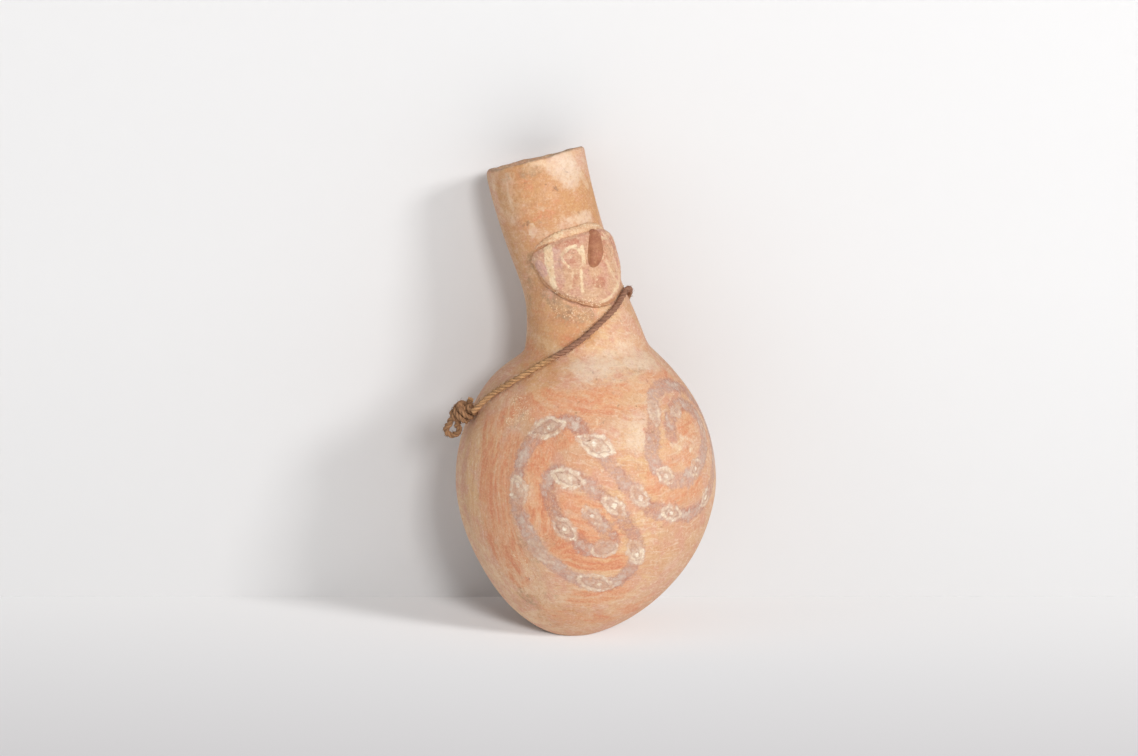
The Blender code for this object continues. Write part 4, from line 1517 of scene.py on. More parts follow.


# The face's paint, in the same rows, and the nose's top and right side, painted lighter as painted light
LEFT_EYE = strokes(
    (0.6, 0.95, (-33.3, 156.9), (-26.8, 158.2), (-17.5, 158.4), (-13.8, 155.6), (-13.5, 152.8),
     (-17.4, 150.6), (-26, 150.1), (-31.7, 152.7), (-34.5, 155), (-33.3, 156.9)),
    (0.85, 1, (-29.5, 157.8), (-23, 158.9), (-17, 159)),
    (0.4, 0.8, (-26.4, 154.6), (-24.4, 155.2)),
    ((0.95, 0.6), 1, (-10.2, 157.6), (-11.2, 154.8), (-13, 151.4)),
    (0.7, 1, (-18.6, 150), (-20.9, 146.9), (-23, 143.7), (-24.5, 141.3)),
    (0.6, 0.55, (-28, 149.4), (-31.2, 146.6), (-34.4, 143.8)),
    (0.45, 0.6, (-30, 149.2), (-25, 148.6), (-21, 148.9)),
)
FACE_ZONES: Zones = {
    "red": (1.6, strokes(
        (0.5, 0.9, (-34.6, 160.4), (-26.7, 160.4), (-14.7, 160.5)),
        (1.9, 0.7, (-6, 143.4), (-3, 143)),
        (0.7, 0.9, (-24, 153.6)),
        (0.7, 0.6, (18, 153.6)),
        (1.4, 0.6, (33, 157), (34, 153)),
        (0.9, 0.4, (-29, 146.5), (-31, 142)),
        (1.1, 0.6, (18, 160), (15, 156), (11, 149.5)),
    )),
    "lavender": (2, strokes(
        (1.2, 1, (-38.4, 158.4), (-38, 157)),
        (1.5, 1, (-60.4, 155), (-58.6, 152.6)),
        (1.2, 0.55, (-41, 153), (-42, 148)),
        (1.5, 0.3, (-15, 147), (-17, 143)),
        (1.2, 0.6, (36, 158), (37.5, 150)),
    )),
    "crumb": (1.5, strokes(
        (0.8, 1, (-50, 143.6), (-42, 141), (-33, 138.9), (-22, 137.2), (-10, 136)),
    )),
}
FACE_MARKS: Marks = {
    "cream": (
        *strokes(
            ((1.9, 1.2), 0.85, (-45, 160.6), (-47, 156.3), (-49, 152.6), (-50.6, 149.2), (-51.8, 145.4)),
            (0.45, 0.8, (32, 161), (37, 156), (38.4, 151)),
            (0.4, 0.6, (14, 150), (16, 146), (15, 142)),
        ),
        *LEFT_EYE,
        *mirrored(LEFT_EYE, -3, 0.7),
        *strokes(
            (0.5, 0.85, (21, 160.8), (27.2, 157.7), (28.9, 154.3), (27.8, 150.6), (26, 146.7),
             (25.5, 142.8)),
            (0.5, 0.6, (28, 160.4), (34, 156), (35, 150), (33, 145)),
            ((1.2, 0.8), 0.8, (39, 160), (40.6, 156), (42, 151), (41, 147)),
            (0.75, 0.8, (-9.6, 135.9), (-1, 136.4), (8, 137.9), (16, 139.8), (24, 142.4)),
            (0.45, 0.45, (-52.5, 145.4), (-47, 142.2), (-39.3, 140.2), (-31.8, 138.4)),
            (0.35, 0.8, (-6, 144.3)),
            (0.3, 0.8, (-2.5, 143.2)),
            (0.3, 0.7, (-9, 142.6)),
            (0.3, 0.6, (-4.5, 141.6)),
            (0.5, 0.4, (-66, 155.6), (-66.6, 152.6), (-62, 150)),
        ),
    ),
    "dark": strokes(
        (0.25, 0.5, (-27.6, 156.4), (-24, 156.6), (-20.6, 156.2)),
        (0.25, 0.5, (-26.6, 154.4), (-24.8, 151.9), (-21.6, 152.4), (-21.2, 154.8)),
        (0.2, 0.35, (-29.4, 149.9), (-24, 149.4), (-19, 149.9)),
    ),
}
NOSE_LIT_SIDE = strokes(
    (1.2, 0.75, (3, 163), (8, 162.6), (14, 162.6)),
    (1.2, 1, (18, 162), (15, 157), (10.5, 150)),
)

# Pink slip over the face, matt, with cream and red-brown lines
FACE_CLAY = Clay(
    name="pink_slip_on_clay",
    light="#DCB194",
    dark="#CD9C7F",
    streak="#C38A6D",
    pink="#CF9582",
    yellow="#D9AE86",
    pale="#E8C8A7",
    speck="#A26F54",
    coats=(
        # The rim: bare clay, darker brown, with painted shade of the panel's step
        Coat("rim", WEIGHT, "#B3764D", "#D2A075", softness=0.35, waver=1.1, left=0.65, opacity=0.95),
        Coat("lavender", WEIGHT, "#CDA198", "#D3A69A", softness=0.35, waver=1.0, left=0.5, opacity=0.75),
        Coat("red", WEIGHT, "#B97259", "#C07E63", softness=0.3, waver=1.2, left=0.3, opacity=0.8),
        Coat("dark", DISTANCE, "#8F6B55", "#9C7559", softness=0.2, waver=1.0, left=0.3, opacity=0.7,
             strength_field="dark_strength"),
        Coat("cream", DISTANCE, "#F3DEBB", "#E9C79C", softness=0.3, waver=1.7, worn=(0.4, 0.5), left=0.25,
             opacity=0.95, strength_field="cream_strength"),
    ),
    roughness=(0.6, 0.82),
    streak_share=0.35,
    speck_share=0.4,
)

# Cream slip on the brow band, chipped to the clay in places
BROW_CLAY = Clay(
    name="cream_slip_on_clay",
    light="#F0D3AB",
    dark="#E0B88F",
    streak="#D5A27C",
    pink="#D8A686",
    yellow="#E8C597",
    pale="#F6E4C4",
    speck="#B7845F",
    roughness=(0.62, 0.82),
    streak_share=0.8,
    speck_share=0.5,
)

# Red-brown slip on the nose, the darkest paint on the bottle, lighter at its rubbed rim and, as painted light, on its
# top and right side
NOSE_CLAY = Clay(
    name="red_brown_slip_on_clay",
    light="#C68B66",
    dark="#A0634A",
    streak="#8C4F3A",
    pink="#B3735A",
    yellow="#B97F58",
    pale="#CB966F",
    speck="#8A533C",
    coats=(
        # Lighter at the rubbed rim, and as painted light on the top and right side
        Coat("rubbed", WEIGHT, "#CC8E68", "#D7A17C", waver=0.7, left=0.6, opacity=0.9),
    ),
    roughness=(0.55, 0.75),
    streak_share=0.4,
)

# Flakes of cream slip and pale temper, matt
GRAIN_CLAY = Clay(
    name="flaked_cream_slip",
    light="#F3D8B4",
    dark="#E6BF98",
    streak="#E4B78E",
    pink="#E5B794",
    yellow="#EBC898",
    pale="#F8E8CE",
    speck="#CE9E78",
)


# The cord


@dataclass(frozen=True)
class Fibre:
    """Twisted plant fibre: dry, matt strands that go from straw to brown along the cord."""

    name: str
    straw: str
    brown: str
    shadow: str
    strand_width: float = 0.16
    stretch: float = 0.25
    patch_size: float = 3.846154 * MM

    def make(self) -> Material:
        """Build the material.

        Returns:
            A Principled material whose streaks follow the strands.
        """
        material = bpy.data.materials.new(self.name)
        tree = blank(material)
        put = partial(add, tree)
        across, along, tone, crest = (
            put("Attribute", attribute_name=name).outputs["Vector" if name == "across" else "Fac"]
            for name in ("across", "along", "tone", "crest")
        )
        run = put("CombineXYZ", 0, 0, put("Math", along, self.stretch, operation="MULTIPLY"))
        spot = put("VectorMath", across, (1 / self.strand_width,) * 3, run, operation="MULTIPLY_ADD")
        strands = put("TexNoise", spot, 1, 3)
        patches = put("TexNoise", put("TexCoord").outputs["Object"], 1 / self.patch_size, 4)
        browned = put("MapRange", put("Math", patches, 0.5, tone, operation="MULTIPLY_ADD"), 0.2, 1.1)
        ground = put("Mix", browned, linear(self.straw), linear(self.brown), data_type="RGBA")
        # Darker in the gaps between strands and in the twist's grooves: painted shade, in the shadow colour
        gaps = put("MapRange", strands, 0.54, 0.34, 0, 0.85)
        creases = put("MapRange", crest, 0.55, 0.1, 0, 0.6)
        depth = put("Math", gaps, creases, operation="MAXIMUM")
        colour = put("Mix", depth, ground, linear(self.shadow), data_type="RGBA")
        bump = put("Bump", named={"Height": strands, "Distance": 0.15 * MM, "Strength": 1})
        look = {"Base Color": colour, "Roughness": 0.85, "Normal": bump, "IOR": 1.45}
        put("OutputMaterial", put("BsdfPrincipled", named=look))
        return material


CORD_FIBRE = Fibre("twisted_plant_fibre", straw="#DCAC74", brown="#AE7F66", shadow="#523425")
# A darker copy of the cord's fibre for the knot and the bight: painted shade
SHADED_KNOT_FIBRE = Fibre("shaded_plant_fibre", straw="#BE9163", brown="#9C7054", shadow="#452D22")


def new_tree(name: str, inputs: dict[str, str]) -> tuple[Tree, Any]:
    """Start a geometry tree.

    Args:
        name: the tree's name.
        inputs: each input's name and the end of its socket's type, after the geometry.

    Returns:
        The tree and the sockets of its inputs.
    """
    tree = bpy.data.node_groups.new(name, "GeometryNodeTree")
    for label, kind in {"Geometry": "Geometry", **inputs}.items():
        tree.interface.new_socket(label, in_out="INPUT", socket_type="NodeSocket" + kind)
    tree.interface.new_socket("Geometry", in_out="OUTPUT", socket_type="NodeSocketGeometry")
    return tree, tree.nodes.new("NodeGroupInput").outputs


def finish_tree(tree: Tree, shape: Node, material: Any) -> None:
    """End a geometry tree in real, dressed geometry.

    Args:
        tree: the tree.
        shape: the node of what it made.
        material: the socket of the material.
    """
    real = add(tree, "GeometryNodeRealizeInstances", shape)
    dressed = add(tree, "GeometryNodeSetMaterial", real, named={"Material": material})
    add(tree, "NodeGroupOutput", dressed)


def laid_cord_tree() -> Tree:
    """Build a tree that lays a cord of twisted strands along a curve.

    Returns:
        The tree, whose result has the fields along, across and crest.
    """
    tree, given = new_tree("laid_cord", {
        "Radius": "Float", "Twist Length": "Float", "Strands": "Float", "Groove": "Float", "Step": "Float",
        "Fuzz": "Float", "Seed": "Float", "Material": "Material",
    })
    put = partial(add, tree)
    store = partial(put, "GeometryNodeStoreNamedAttribute", domain="POINT")
    route = put("GeometryNodeResampleCurve", mode="LENGTH",
                named={"Curve": given["Geometry"], "Length": given["Step"]})
    along = put("GeometryNodeSplineParameter").outputs["Length"]
    turns = put("Math", along, given["Twist Length"], operation="DIVIDE")
    tilt = put("Math", turns, FULL_TURN, operation="MULTIPLY")
    millimetres = put("Math", along, MM, operation="DIVIDE")
    marked = store(data_type="FLOAT", named={"Geometry": route, "Name": "along", "Value": millimetres})
    twisted = put("GeometryNodeSetCurveTilt", named={"Curve": marked, "Tilt": tilt})

    ring = put("GeometryNodeCurvePrimitiveCircle", CORD_SIDES, 1)
    spot = put("GeometryNodeInputPosition")
    x, y, _ = put("SeparateXYZ", spot).outputs
    angle = put("Math", y, x, operation="ARCTAN2")
    half = put("Math", given["Strands"], 0.5, operation="MULTIPLY")
    wave = put("Math", put("Math", angle, half, operation="MULTIPLY"), operation="COSINE")
    crest = put("Math", wave, operation="ABSOLUTE")
    cut = put("Math", put("Math", 1, crest, operation="SUBTRACT"), given["Groove"], operation="MULTIPLY")
    reach = put("Math", put("Math", 1, cut, operation="SUBTRACT"), given["Radius"], operation="MULTIPLY")
    edge = put("VectorMath", spot, reach, operation="SCALE")
    sided = store(data_type="FLOAT_VECTOR", named={"Geometry": ring, "Name": "across", "Value": spot})
    ridged = store(data_type="FLOAT", named={"Geometry": sided, "Name": "crest", "Value": crest})
    section = put("GeometryNodeSetPosition", named={"Geometry": ridged, "Position": edge})

    tube = put("GeometryNodeCurveToMesh", twisted, section, named={"Fill Caps": True})
    noise = put("TexNoise", noise_dimensions="4D",
                named={"Vector": spot, "W": given["Seed"], "Scale": 1 / FUZZ_GRAIN, "Detail": 2})
    centred = put("Math", noise, 0.5, operation="SUBTRACT")
    amount = put("Math", centred, given["Fuzz"], operation="MULTIPLY")
    push = put("VectorMath", put("GeometryNodeInputNormal"), amount, operation="SCALE")
    rough = put("GeometryNodeSetPosition", named={"Geometry": tube, "Offset": push})
    finish_tree(tree, rough, given["Material"])
    return tree


class Item(Enum):
    """What a scatter tree strews over a surface."""

    HAIR = "a loose end of fibre"
    CRUMB = "a grain of slip or grit"


def scatter_tree(item: Item) -> Tree:
    """Build a tree that strews small items over a mesh, as thickly as its density field says.

    Args:
        item: what it strews.

    Returns:
        The tree, whose result is the items without the mesh.
    """
    tree, given = new_tree("scatter_" + item.name.lower(), {
        "Density": "Float", "Field": "String", "Size": "Float", "Seed": "Int", "Material": "Material",
    })
    put = partial(add, tree)
    field = put("GeometryNodeInputNamedAttribute", given["Field"], data_type="FLOAT")
    density = put("Math", field, given["Density"], operation="MULTIPLY")
    spread = put("GeometryNodeDistributePointsOnFaces", distribute_method="RANDOM",
                 named={"Mesh": given["Geometry"], "Density": density, "Seed": given["Seed"]}).outputs
    if item is Item.HAIR:
        bend = put("GeometryNodeCurveQuadraticBezier", 5, (0, 0, -0.15), (0.5, 0, 0.45), (1.2, 0.25, 0.35))
        section = put("GeometryNodeCurvePrimitiveCircle", 3, 0.05)
        shape = put("GeometryNodeCurveToMesh", bend, section, named={"Fill Caps": True})
        low, high = (0.35, 0.35, 0.35), (1, 1, 1)
    else:
        ball = put("GeometryNodeMeshIcoSphere", 0.5, 2)
        shape = put("GeometryNodeTransform", named={"Geometry": ball, "Scale": (1, 0.8, 0.42)})
        low, high = (0.3, 0.3, 0.3), (1, 1, 0.8)
    draw = partial(put, "FunctionNodeRandomValue")
    spin = draw(data_type="FLOAT", named={"Min": 0, "Max": FULL_TURN, "Seed": given["Seed"]})
    about = put("FunctionNodeEulerToRotation", put("CombineXYZ", 0, 0, spin))
    turned = put("FunctionNodeRotateRotation", spread["Rotation"], about, rotation_space="LOCAL")
    grade = draw(data_type="FLOAT_VECTOR", named={"Min": low, "Max": high, "Seed": given["Seed"]})
    size = put("VectorMath", grade, given["Size"], operation="SCALE")
    strewn = put("GeometryNodeInstanceOnPoints",
                 named={"Points": spread["Points"], "Instance": shape, "Rotation": turned, "Scale": size})
    finish_tree(tree, strewn, given["Material"])
    return tree


def run_tree(tree: Tree, data: bpy.types.ID, values: dict[str, Any], name: str) -> Mesh:
    """Run a geometry tree on a mesh or curve.

    Args:
        tree: the tree.
        data: the mesh or curve that it starts from.
        values: its inputs by name.
        name: the result's name.

    Returns:
        The result as a plain mesh, shaded smooth.
    """
    holder = bpy.data.objects.new(name + "_source", data)
    bpy.context.scene.collection.objects.link(holder)
    modifier = holder.modifiers.new("Build", "NODES")
    modifier.node_group = tree
    sockets = {s.name: s.identifier for s in tree.interface.items_tree if s.in_out == "INPUT"}
    for label, value in values.items():
        modifier[sockets[label]] = value
    graph = bpy.context.evaluated_depsgraph_get()
    mesh = bpy.data.meshes.new_from_object(holder.evaluated_get(graph))
    mesh.name = name
    holder.modifiers.clear()
    bpy.data.objects.remove(holder)
    mesh.shade_smooth()
    return mesh


def strewn_on(pieces: Sequence[Piece], item: Item, values: dict[str, Any], first_seed: int, ending: str) -> list[Piece]:
    """Strew items over pieces.

    Args:
        pieces: the pieces, which keep their own meshes.
        item: what is strewn.
        values: the scatter tree's inputs, without its seed.
        first_seed: the first piece's seed. Each next piece's is one more.
        ending: what the new pieces' names end in.

    Returns:
        A new piece for each one that got any.
    """
    tree, new = scatter_tree(item), []
    for seed, piece in enumerate(pieces, first_seed):
        material = values.get("Material") or piece.data.materials[0]
        inputs = {**values, "Seed": seed, "Material": material}
        items = run_tree(tree, piece.data.copy(), inputs, piece.name + ending)
        if len(items.polygons):
            new.append(add_piece(piece.name + ending, items, ()))
    return new


@dataclass(frozen=True)
class KnotFrame:
    """The knot's middle, the way it points, the way out from the clay across it, and its side."""

    middle: Array
    along: Array
    out: Array
    side: Array

    def at(self, along: float, out: float = 0.0, side: float = 0.0) -> Array:
        """The point that lies so far along, out and aside of the middle."""
        return self.middle + self.along * along + self.out * out + self.side * side


@dataclass
class NeckCord:
    """The cord tied round the neck, its knot and the bight left beyond the knot."""

    diameter: float = 2.5 * MM
    clearance: float = 0.5 * MM
    step: float = 5.8 * MM

    knot_turn: float = -107.5
    knot_height: float = 91.8 * MM
    knot_radius: float = 4.6 * MM
    knot_length: float = 9.8 * MM
    knot_slant: float = 3
    knot_tip: float = 12
    entry_share: float = 0.44
    entry_sink: float = 0.7 * MM
    entry_clearance: float = 0.35 * MM

    wrap_diameter: float = 2.3 * MM
    wrap_count: float = 3.2
    wrap_start: float = 0.6
    wrap_points: int = 60
    wrap_tuck: float = 9
    wrap_tucked_share: float = 0.25
    wrap_wander: float = 0.35 * MM
    core_shift: float = 1.3 * MM
    core_sink: float = 0.3 * MM
    core_points: int = 9
    stub_start: tuple[float, float, float] = (-1.2 * MM, 0, 0.8 * MM)
    stub_steps: Sequence[Place] = ((0, 0), (2.2, -0.5), (3.9, -0.9), (5, -0.6))

    bight_diameter: float = 2.6 * MM
    bight_radius: float = 2.7 * MM
    bight_drop: float = 4.9 * MM
    bight_leg_offset: float = 1.7 * MM
    bight_leg_length: float = 2 * MM
    bight_start: float = 0.6 * MM
    bight_opening: float = 130
    bight_sag: float = 22
    bight_points: int = 13

    twist_length: float = 7 * MM
    strands: float = 3.0
    groove: float = 0.34
    fuzz: float = 0.75 * MM
    path_step: float = 1.2 * MM
    mesh_step: float = 0.42 * MM
    brown_fade: float = 12
    fray_density: float = 480000.0
    fray_size: float = 1.5 * MM

    route: Sequence[Place] = (
        (-96, 100.9), (-87, 105.4), (-77, 110.5), (-67, 115.2), (-55, 119.3), (-41, 123),
        (-27, 126.4), (-13, 129.6), (2, 132.3), (12, 134.1), (21, 135.9), (32, 137.2), (45, 137.6),
        (58, 136.9), (77, 134.6), (95, 131), (114, 125.8), (133, 120), (151, 114),
        (168, 107.6), (183, 101), (197, 95), (210, 90.6), (222, 88.8), (234, 89.8),
    )

    def knot_frame(self) -> KnotFrame:
        """Find how the knot stands on the clay.

        Returns:
            Its frame.
        """
        at, half = self.knot_height, self.knot_length / 2
        normal = SKIN.normal(np.array(self.knot_turn), np.array(at))
        above = SKIN.place(self.knot_turn + self.knot_slant, at + half, 0)
        below = SKIN.place(self.knot_turn - self.knot_slant, at - half, 0)
        side = unit(np.cross(normal, below - above))
        tip = rotation(side, -self.knot_tip)
        middle = SKIN.place(self.knot_turn, at, self.knot_radius + self.clearance)
        along, out = tip @ np.cross(side, normal), tip @ normal
        return KnotFrame(middle, along, out, np.cross(out, along))

    def loop_path(self) -> Array:
        """Lead the cord from one side of the knot round the neck to the other.

        Returns:
            Its middle, marked off evenly.
        """
        knot = self.knot_frame()
        aside = self.knot_radius + self.entry_clearance
        lead = -self.entry_share * self.knot_length
        start, end = (knot.at(lead, -self.entry_sink, side) for side in (aside, -aside))
        turns, heights = np.array(self.route, float).T
        around = SKIN.place(turns, heights * MM, self.diameter / 2 + self.clearance)
        return smooth_route(np.array([start, *around, end]), self.step)

    def bight_path(self) -> Array:
        """Hang the short loop from the knot's far end.

        Returns:
            Its middle, marked off evenly.
        """
        knot = self.knot_frame()
        start = self.knot_length / 2 - self.bight_start
        sag = rotation(knot.side, self.bight_sag)
        hang, across, opening = sag @ knot.along, sag @ knot.out, math.radians(self.bight_opening)
        offset, length = self.bight_leg_offset, self.bight_leg_length
        legs = [knot.at(start + leg, side) for side in (-offset, offset) for leg in (0, length)]
        eye = [
            knot.at(start) + across * self.bight_radius * math.sin(angle)
            + hang * (self.bight_drop + self.bight_radius * math.cos(angle))
            for angle in np.linspace(-opening, opening, self.bight_points)
        ]
        return smooth_route(np.array([*legs[:2], *eye, *legs[:1:-1]]), KNOT_STEP)

    def wrap_path(self) -> Array:
        """Wind the cord about the knot, its ends tucked in.

        Returns:
            Its middle, marked off evenly.
        """
        knot, points = self.knot_frame(), []
        radius, half = (size - self.wrap_diameter / 2 for size in (self.knot_radius, self.knot_length / 2))
        for share in np.linspace(0, 1, self.wrap_points):
            angle = FULL_TURN * self.wrap_count * share + self.wrap_start
            tuck = float(smooth(np.array(min(share, 1 - share) * self.wrap_tuck)))
            reach = radius * (self.wrap_tucked_share + (1 - self.wrap_tucked_share) * tuck)
            reach *= 1 + 0.05 * math.sin(2.3 * angle)
            level = half * (2 * share - 1) + self.wrap_wander * math.sin(angle + 1)
            points.append(knot.at(level, reach * math.cos(angle), reach * math.sin(angle)))
        return smooth_route(np.array(points), KNOT_STEP)

    def core_path(self, shift: float) -> Array:
        """Lead a strand through the knot, from the loop to the bight.

        Args:
            shift: how far aside of the knot's middle it runs.

        Returns:
            Its middle, marked off evenly.
        """
        knot, points = self.knot_frame(), []
        for share in np.linspace(-0.98, 1, self.core_points):
            spread = shift * (0.7 + 0.9 * max(-share, 0) ** 2)
            points.append(knot.at(self.knot_length / 2 * share, -self.core_sink, spread))
        return smooth_route(np.array(points), KNOT_STEP)

    def stub_path(self) -> Array:
        """Lead the cut end out of the wraps, away from the clay.

        Returns:
            Its middle, marked off evenly.
        """
        knot, (along, out, side) = self.knot_frame(), self.stub_start
        points = [knot.at(along + drop * MM, out + reach * MM, side) for reach, drop in self.stub_steps]
        return smooth_route(np.array(points), KNOT_STEP)

    @staticmethod
    def curve(name: str, path: Array) -> bpy.types.Curve:
        """Draw a curve of one straight-jointed spline.

        Args:
            name: its name.
            path: its points.

        Returns:
            The curve.
        """
        data = bpy.data.curves.new(name, "CURVE")
        data.dimensions = "3D"
        spline = data.splines.new("POLY")
        spline.points.add(len(path) - 1)
        spline.points.foreach_set("co", np.column_stack([path, np.ones(len(path))]).ravel())
        return data

    def laid(self, name: str, paths: Sequence[Array], diameter: float, straw_tone: float,
             fibre: Fibre) -> Mesh:
        """Lay cord along paths.

        Args:
            name: the mesh's name.
            paths: the middle of each length of cord.
            diameter: the cord's thickness.
            straw_tone: how brown it is away from its browner stretch, where it is 1.
            fibre: what it is made of.

        Returns:
            One mesh with every length in it.
        """
        tree, meshes = laid_cord_tree(), []
        material = bpy.data.materials.get(fibre.name) or fibre.make()
        values = {
            "Radius": diameter / 2, "Twist Length": self.twist_length, "Strands": self.strands,
            "Groove": self.groove, "Step": self.mesh_step, "Fuzz": self.fuzz, "Material": material,
        }
        for i, path in enumerate(paths):
            curve = self.curve(f"{name}_route_{i}", smooth_route(path, self.path_step))
            meshes.append(run_tree(tree, curve, {**values, "Seed": 3.0 + i}, f"{name}_{i}"))
        mesh = meshes[0] if len(meshes) == 1 else joined(name, meshes)
        mesh.name = name
        brown = zone_weight(vertices(mesh), BROWN_CORD, self.brown_fade, self.diameter / 2)
        write_fields(mesh, {"tone": straw_tone + (1 - straw_tone) * brown, "fray": np.ones(len(brown))})
        return mesh

    def build(self) -> list[Piece]:
        """Returns:
            The pieces, the loop first.
        """
        path = self.loop_path()
        cores = [self.core_path(shift) for shift in (-self.core_shift, self.core_shift)]
        knot = [self.wrap_path(), *cores, self.stub_path()]
        # The knot and the bight are browner, and of the darker fibre, as painted shade
        pieces = [
            add_piece(name, self.laid(name, paths, diameter, tone, fibre), (node,))
            for name, paths, diameter, tone, fibre, node in (
                ("neck_cord", [path], self.diameter, 0.1, CORD_FIBRE, "cord_loop"),
                ("cord_knot_wraps", knot, self.wrap_diameter, 0.35, SHADED_KNOT_FIBRE, "cord_knot"),
                ("cord_bight_loop", [self.bight_path()], self.bight_diameter, 0.25, SHADED_KNOT_FIBRE, "cord_bight"),
            )
        ]
        values = {"Density": self.fray_density, "Field": "fray", "Size": self.fray_size}
        pieces += strewn_on(pieces, Item.HAIR, values, 11, "_fray")
        return pieces


# Where the cord is browner
BROWN_CORD = strokes(
    (3, 1, (-46, 121.4), (-27, 125.9), (2, 132), (24, 137), (47, 140.6), (60, 140.6)),
)


def joined(name: str, meshes: Sequence[Mesh]) -> Mesh:
    """Join meshes into one, with their fields.

    Args:
        name: the new mesh's name.
        meshes: the meshes, which are used up.

    Returns:
        The joined mesh.
    """
    holders = [bpy.data.objects.new(f"{name}_{i}", mesh) for i, mesh in enumerate(meshes)]
    for holder in holders:
        bpy.context.scene.collection.objects.link(holder)
    with bpy.context.temp_override(active_object=holders[0], selected_editable_objects=holders):
        bpy.ops.object.join()
    mesh = holders[0].data
    bpy.data.objects.remove(holders[0])
    return mesh


# Grit and flecks of slip that stand on the clay


@dataclass
class Grit:
    """Grains of cream slip and temper that stand on the surface."""

    density: float = 1000000.0
    size: float = 0.85 * MM

    def build(self, grounds: Sequence[Piece]) -> list[Piece]:
        """Strew grains over the pieces whose crumb field is set.

        Args:
            grounds: the pieces.

        Returns:
            The pieces of grains.
        """
        values = {"Density": self.density, "Field": "crumb", "Size": self.size, "Material": GRAIN_CLAY.make()}
        return strewn_on(grounds, Item.CRUMB, values, 5, "_grains")


# Floor, backdrop, light and camera


@dataclass(frozen=True)
class Lamp:
    """A square lamp, placed by its direction from the bottle as right, up and towards the camera."""

    name: str
    aim: tuple[float, float, float]
    size: float
    watts: float
    reach: float = 4.0


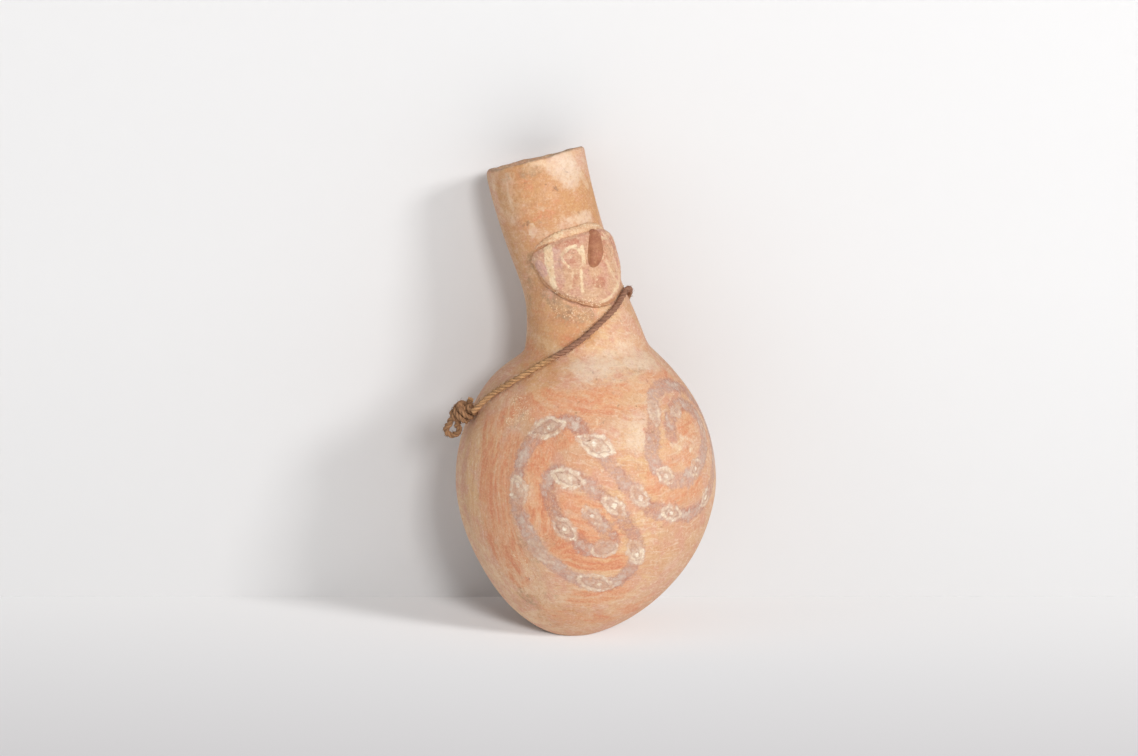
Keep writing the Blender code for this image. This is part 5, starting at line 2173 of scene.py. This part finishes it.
@dataclass
class Studio:
    """A white floor, a sheet that leans behind the bottle, two keys, a fill and the photograph's camera."""

    azimuth: float = -35
    elevation: float = 8.2
    distance: float = 1.5
    frame_width: float = 466.6 * MM
    sensor_width: float = 36
    look_side: float = -1.8 * MM
    look_up: float = 104.6 * MM
    look_near: float = 11.4 * MM
    floor_reach: float = 6
    wall_away: float = 70 * MM
    wall_lean: float = 12
    wall_height: float = 0.55
    wall_side: float = 0.52
    wall_fade: float = 0.22
    # Painted shade: the backdrop darkens towards its foot, the floor towards the camera
    wall_shade: float = 0.14
    floor_shade: Place = (-0.06, 0.22)
    clip: Place = (0.05, 30)
    wall_paper: str = "#E9E8E8"
    wall_foot: str = "#E4E3E3"
    far_floor: str = "#F8F7F7"
    near_floor: str = "#DAD8D9"
    unseen_paper: str = "#E0E0E0"
    floor_tilt: float = 30
    lamp_target: float = 100 * MM
    lamps: Sequence[Lamp] = (
        Lamp("right_key", (0.64, 0.2, 0.74), 0.8, 60.0),
        Lamp("front_key", (0.22, 0.12, 0.97), 0.7, 57.0),
        Lamp("fill", (-0.85, 0.2, 0.45), 3.0, 13.0),
    )
    lighting_world: float = 0.33
    seen_world: float = 0.9

    def axes(self) -> tuple[Vector, Vector, Vector]:
        """Find the view's directions.

        Returns:
            Its right, its up and the way back to the camera.
        """
        a, e = math.radians(self.azimuth), math.radians(self.elevation)
        back = Vector((math.sin(a) * math.cos(e), -math.cos(a) * math.cos(e), math.sin(e)))
        right = Vector((math.cos(a), math.sin(a), 0))
        return right, back.cross(right), back

    def near(self) -> Vector:
        """The level way towards the camera."""
        back = self.axes()[2]
        return Vector((back.x, back.y, 0)).normalized()

    @staticmethod
    def add_object(name: str, data: bpy.types.ID, place: Vector, facing: Vector, axis: str) -> Piece:
        """Put a camera or lamp in the scene.

        Args:
            name: its name.
            data: its data.
            place: where it stands.
            facing: the way that one of its axes points.
            axis: that axis.

        Returns:
            The object.
        """
        thing = bpy.data.objects.new(name, data)
        thing.location = place
        thing.rotation_mode = "QUATERNION"
        thing.rotation_quaternion = facing.to_track_quat(axis, "Y")
        bpy.context.scene.collection.objects.link(thing)
        return thing

    def camera(self) -> None:
        """Set the camera."""
        right, up, back = self.axes()
        data = bpy.data.cameras.new("view")
        data.sensor_width = self.sensor_width
        data.lens = self.sensor_width * self.distance / self.frame_width
        data.clip_start, data.clip_end = self.clip
        target = right * self.look_side + up * self.look_up + back * self.look_near
        place = target + back * self.distance
        bpy.context.scene.camera = self.add_object("view", data, place, -back, "-Z")

    @staticmethod
    def seen(tree: Tree) -> Node:
        """Tell the rays that look at the stage from those that only light the bottle.

        Args:
            tree: the material's or the world's tree.

        Returns:
            The node that gives 1 to the ones that look and 0 to the others.
        """
        path = add(tree, "LightPath").outputs
        looked = add(tree, "Math", path["Is Camera Ray"], path["Is Glossy Ray"], operation="MAXIMUM")
        return add(tree, "Math", looked, path["Is Transmission Ray"], operation="MAXIMUM")

    def paper(self, name: str, ghost: bool) -> Material:
        """Make white matt paper, clear from behind, its shading normal turned to the lamps so that all sheets match,
        with painted shade: darker towards the backdrop's foot and, on the floor, towards the camera.

        Args:
            name: the material's name.
            ghost: whether it is there only for what looks at it, and takes no light from the object.

        Returns:
            The material.
        """
        material = bpy.data.materials.new(name)
        tree = blank(material)
        material.cycles.use_bump_map_correction = False
        put = partial(add, tree)
        near = self.near()
        place = put("TexCoord").outputs["Object"]
        height = put("SeparateXYZ", place).outputs["Z"]
        # Painted shade: darker towards the backdrop's foot, and towards the camera on the floor
        if ghost:
            shade = put("MapRange", height, self.wall_shade, 0)
            first, last, tilt = self.wall_paper, self.wall_foot, math.radians(-self.wall_lean)
        else:
            nearness = put("VectorMath", place, near, operation="DOT_PRODUCT")
            shade = put("MapRange", nearness, *self.floor_shade)
            first, last, tilt = self.far_floor, self.near_floor, math.radians(self.floor_tilt)
        tone = put("Mix", shade, linear(first), linear(last), data_type="RGBA")
        seen = self.seen(tree)
        tone = put("Mix", seen, linear(self.unseen_paper), tone, data_type="RGBA")
        facing = near * math.cos(tilt) + Vector((0, 0, math.sin(tilt)))
        matt = put("BsdfDiffuse", tone, named={"Normal": put("CombineXYZ", *facing)})
        hidden = put("NewGeometry").outputs["Backfacing"]
        if ghost:
            unlooked = put("Math", 1, seen, operation="SUBTRACT")
            hidden = put("Math", hidden, unlooked, operation="MAXIMUM")
            hidden = self._thinned(tree, place, height, hidden)
        put("OutputMaterial", put("MixShader", hidden, matt, put("BsdfTransparent")))
        return material

    def _thinned(self, tree: Tree, place: Any, height: Any, hidden: Node) -> Node:
        """Thin the sheet out past the camera's frame, so that no edge shows beside the bottle elsewhere.

        Args:
            tree: the paper's tree.
            place: the socket of the place on the sheet.
            height: the socket of its height.
            hidden: the node that gives how clear it is already.

        Returns:
            The node that gives how clear it is, from 0 to 1.
        """
        put = partial(add, tree)
        aside = put("VectorMath", place, self.axes()[0], operation="DOT_PRODUCT")
        aside = put("Math", aside, operation="ABSOLUTE")
        for way, reach in ((aside, self.wall_side), (height, self.wall_height)):
            thin = put("MapRange", way, reach - self.wall_fade, reach - 0.01, interpolation_type="SMOOTHSTEP")
            hidden = put("Math", hidden, thin, operation="MAXIMUM")
        return hidden

    def stage(self) -> None:
        """Lay the floor and lean the backdrop close behind the bottle."""
        near, side, reach = self.near(), self.axes()[0] * self.wall_side, self.floor_reach
        slope = math.tan(math.radians(self.wall_lean))
        rise = (Vector((0, 0, 1)) + near * slope) * self.wall_height
        foot = Vector((0, 0, 0.1 * MM)) - near * self.wall_away
        floor = [(-reach, -reach, 0), (reach, -reach, 0), (reach, reach, 0), (-reach, reach, 0)]
        wall = [foot - side, foot + side, foot + side + rise, foot - side + rise]
        for name, ghost, corners in (("floor", False, floor), ("backdrop", True, wall)):
            mesh = bpy.data.meshes.new(name)
            mesh.from_pydata([tuple(c) for c in corners], [], [(0, 1, 2, 3)])
            mesh.materials.append(self.paper(name + "_paper", ghost))
            sheet = bpy.data.objects.new(name, mesh)
            sheet.visible_shadow = not ghost
            bpy.context.scene.collection.objects.link(sheet)

    def light(self) -> None:
        """Hang the lamps and set the white world."""
        right, up, back = self.axes()
        for lamp in self.lamps:
            data = bpy.data.lights.new(lamp.name, "AREA")
            data.shape, data.size, data.energy = "SQUARE", lamp.size, lamp.watts
            way = (right * lamp.aim[0] + up * lamp.aim[1] + back * lamp.aim[2]).normalized()
            self.add_object(lamp.name, data, Vector((0, 0, self.lamp_target)) + way * lamp.reach, way, "Z")
        world = bpy.data.worlds.new("white_room")
        tree = blank(world)
        strength = add(tree, "MapRange", self.seen(tree), 0, 1, self.lighting_world, self.seen_world)
        add(tree, "OutputWorld", add(tree, "Background", linear("#FFFFFF"), strength))
        bpy.context.scene.world = world
        bpy.context.scene.view_settings.view_transform = "Standard"

    def build(self) -> None:
        """Set the camera, the stage and the light."""
        self.camera()
        self.stage()
        self.light()


def main() -> None:
    """Build the bottle's pieces in order."""
    logging.basicConfig(level=logging.INFO, format="%(name)s: %(message)s")
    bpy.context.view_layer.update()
    Studio().build()
    cord = NeckCord().build()
    clay = TurnedClay().build()
    face = Face().build()
    grains = Grit().build([clay, face[0]])
    LOG.info("%d pieces", len(cord) + 1 + len(face) + len(grains))


if __name__ == "__main__":
    main()
